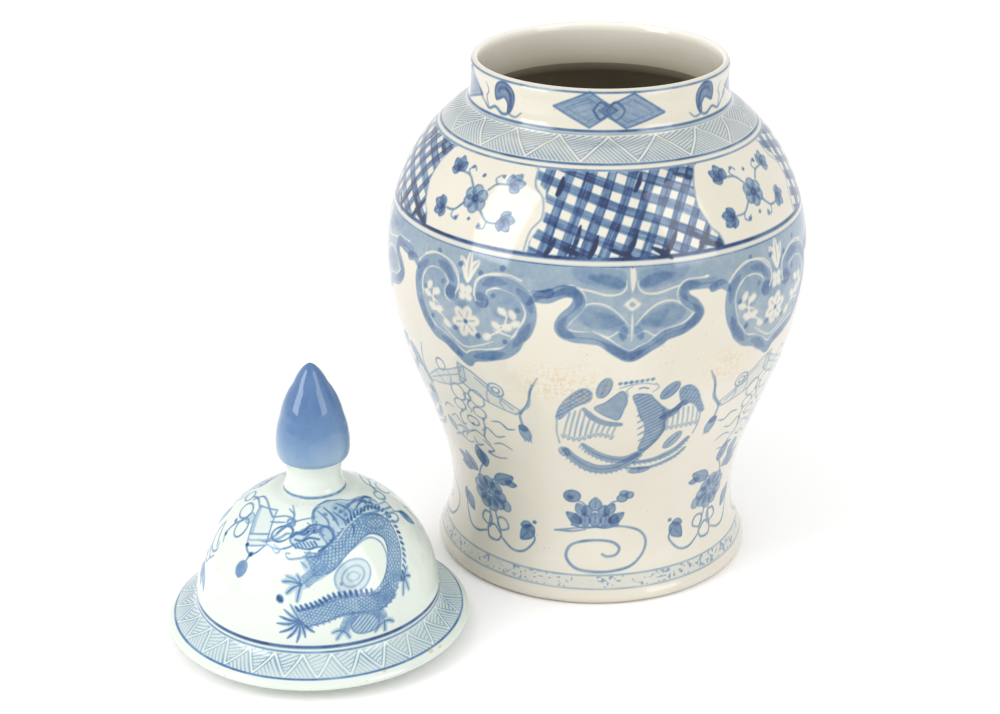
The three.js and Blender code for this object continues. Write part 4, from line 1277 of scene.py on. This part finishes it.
JAR_TONES = ((209, 204, 190), (202, 196, 181))
JAR_GLAZE = glaze("jar_glaze", *JAR_TONES)
FOOT_GLAZE = glaze("foot_glaze", *JAR_TONES)
# The inside glaze's darker tones are painted shade for the floor inside and under the jar.
INSIDE_GLAZE = glaze("inside_glaze", (196, 191, 177), (186, 180, 166), roughness=0.14)
LID_GLAZE = glaze("lid_glaze", (214, 221, 212), (206, 214, 205))
COLLAR_GLAZE = glaze("collar_glaze", (204, 209, 200), (195, 201, 190), roughness=0.13)
BUD_GLAZE = glaze("bud_glaze", (206, 212, 210), (200, 207, 205), roughness=0.07, mottle=0.25)


# ---------------------------------------------------------------- build both bodies
jar = build_canvas(("foot_ring", "lower_body", "upper_body", "neck_collar"), JAR_AXIS, JAR_COLUMNS)
lid = build_canvas(("lid_flange", "lid_dome", "finial_stem", "finial_bud"), LID_AXIS, LID_COLUMNS)
paint_jar(jar)
paint_lid(lid)

JAR_SLOTS = {"foot_ring": ("jar_foot", FOOT_GLAZE), "lower_body": ("jar_glaze", JAR_GLAZE),
             "upper_body": ("jar_glaze", JAR_GLAZE), "neck_collar": ("jar_glaze", JAR_GLAZE)}
LID_SLOTS = {"lid_flange": ("lid_glaze", LID_GLAZE), "lid_dome": ("lid_glaze", LID_GLAZE),
             "finial_stem": ("lid_glaze", LID_GLAZE), "finial_bud": ("finial_glaze", BUD_GLAZE)}


def wiped_edge(canvas, rows):
    """Bare clay along the foot's contact edge, where the glaze was wiped off."""
    edge = 1.6 + 0.9 * value_noise(canvas.angle * 7, 0, 77)
    return np.clip((edge[None, :] - canvas.z[rows][:, None]) / 0.7 + 0.5, 0, 1)


def inside_depth(node, inner):
    """How deep down the jar each inner ring is, as painted shade from 0 to 1 below the height where it
    starts, and as painted light from 0 to -1 up the neck to the mouth.
    """
    depth = np.array([(PAINTED_SHADE_FROM - z) / PAINTED_SHADE_DEPTH for _, z in inner])
    painted_light_share = np.clip(-depth, 0, 1) if node == "neck_collar" else 0
    depth = np.clip(depth, 0, 1)
    return depth * depth * (3 - 2 * depth) - painted_light_share


def closed_ends(rings):
    """A solid section's rings, with a pole added at each end that hasn't one."""
    low, high = ([(0.0, z)] if r > ON_AXIS else [] for r, z in (rings[0], rings[-1]))
    return low + rings + high


def glaze_body(body, canvas, axis, columns, slots):
    """The glazed pieces of one body that are painted on a canvas."""
    for node, (slot, material) in slots.items():
        first, last = canvas.seams[node]
        rows = slice(first, last + 1)
        rings = list(zip(canvas.r[rows], canvas.z[rows]))
        low = rings[0][1] if node not in ("foot_ring", "lid_flange") else None
        high = rings[-1][1] if node != "neck_collar" else None
        inner = inner_rings(node, axis, low, high)
        if not inner:
            rings = closed_ends(rings)
        bare = wiped_edge(canvas, rows) if node == "foot_ring" else ()
        deep = np.zeros(len(rings) + len(inner))
        # Painted light and shade on the jar's inside.
        if body == "jar":
            deep[len(rings):] = inside_depth(node, inner)
        turned(node, body, axis, columns, rings + inner, material,
               canvas.ink[rows], canvas.ochre[rows], bare, deep)


def glaze_floor():
    """The recessed floor of the jar, with painted shade on its upper side."""
    lo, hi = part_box("base_disc")
    radii = [(hi.x - lo.x) / 2 / MM * k / FLOOR_RINGS for k in range(FLOOR_RINGS + 1)]
    under = [(r, lo.z / MM) for r in radii]
    over = [(r, hi.z / MM) for r in radii[::-1]]
    deep = np.array([0.0] * FLOOR_RINGS + [1.0] * FLOOR_RINGS)
    turned("base_disc", "jar", JAR_AXIS, FLOOR_COLUMNS, under + over, INSIDE_GLAZE, deep=deep)


def glaze_collar():
    """The locating ring under the lid, its lower edges rounded and wiped bare."""
    lo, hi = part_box("locating_ring")
    low, high = lo.z / MM, hi.z / MM
    outer, inner = (hi.x - lo.x) / 2 / MM, chain("locating_ring", LID_AXIS, -1)[0][0]
    bare = np.array([1, 1, 0.7, 0, 0])
    rings = [(outer - COLLAR_ROUND, low), (outer - COLLAR_BEVEL, low + COLLAR_BEVEL),
             (outer, low + COLLAR_ROUND), (outer, low + COLLAR_STEP), (outer, high),
             (inner, high), (inner, low + COLLAR_STEP), (inner, low + COLLAR_ROUND),
             (inner + COLLAR_BEVEL, low + COLLAR_BEVEL), (inner + COLLAR_ROUND, low)]
    turned("locating_ring", "lid", LID_AXIS, COLLAR_COLUMNS, rings, COLLAR_GLAZE,
           bare=np.concatenate([bare, bare[::-1]]))


glaze_body("jar", jar, JAR_AXIS, JAR_COLUMNS, JAR_SLOTS)
glaze_body("lid", lid, LID_AXIS, LID_COLUMNS, LID_SLOTS)
glaze_floor()
glaze_collar()


# ---------------------------------------------------------------- floor and light
PAPER, PAPER_ROUGHNESS = (254, 253, 253), 0.75
FLOOR_SIZE, FLOOR_BACK = 14, 3.0     # metres, its side and how far back its middle is
LIT_POINT = Vector((0.02, 0, 0.16))  # what both soft lights are aimed at, metres
WORLD_STRENGTH = 0.97


def paper():
    """The white paper that the jar stands on."""
    k = Nodes("paper")
    lighter = [min(255, c + 2) for c in PAPER]
    k.link(k.mix(k.noise(6, 3, 0.5), linear(*PAPER), linear(*lighter)), k.bsdf.inputs["Base Color"])
    k.bsdf.inputs["Roughness"].default_value = PAPER_ROUGHNESS
    return k.material


bpy.ops.mesh.primitive_plane_add(size=FLOOR_SIZE, location=(0, FLOOR_BACK, 0))
floor = bpy.context.object
floor.name = "floor"
floor.data.materials.append(paper())


def softbox(name, bearing, elevation, distance, width, height, power):
    """A soft light aimed at the jar. bearing is from straight in front, to the right."""
    data = bpy.data.lights.new(name, "AREA")
    data.shape, data.size, data.size_y, data.energy = "RECTANGLE", width, height, power
    a, e = math.radians(bearing), math.radians(elevation)
    way = Vector((math.sin(a) * math.cos(e), -math.cos(a) * math.cos(e), math.sin(e)))
    place = LIT_POINT + distance * way
    lamp = bpy.data.objects.new(name, data)
    lamp.location = place
    lamp.rotation_euler = (LIT_POINT - place).to_track_quat("-Z", "Y").to_euler()
    bpy.context.scene.collection.objects.link(lamp)


softbox("left_box", -60, 27, 1.9, 0.85, 1.5, 16)
softbox("right_box", 52, 29, 1.9, 0.85, 1.5, 9.5)

world = bpy.data.worlds.new("studio")
bpy.context.scene.world = world
world.use_nodes = True
world.node_tree.nodes["Background"].inputs["Color"].default_value = (1.0, 1.0, 1.0, 1.0)
world.node_tree.nodes["Background"].inputs["Strength"].default_value = WORLD_STRENGTH
bpy.context.scene.view_settings.view_transform = "Standard"
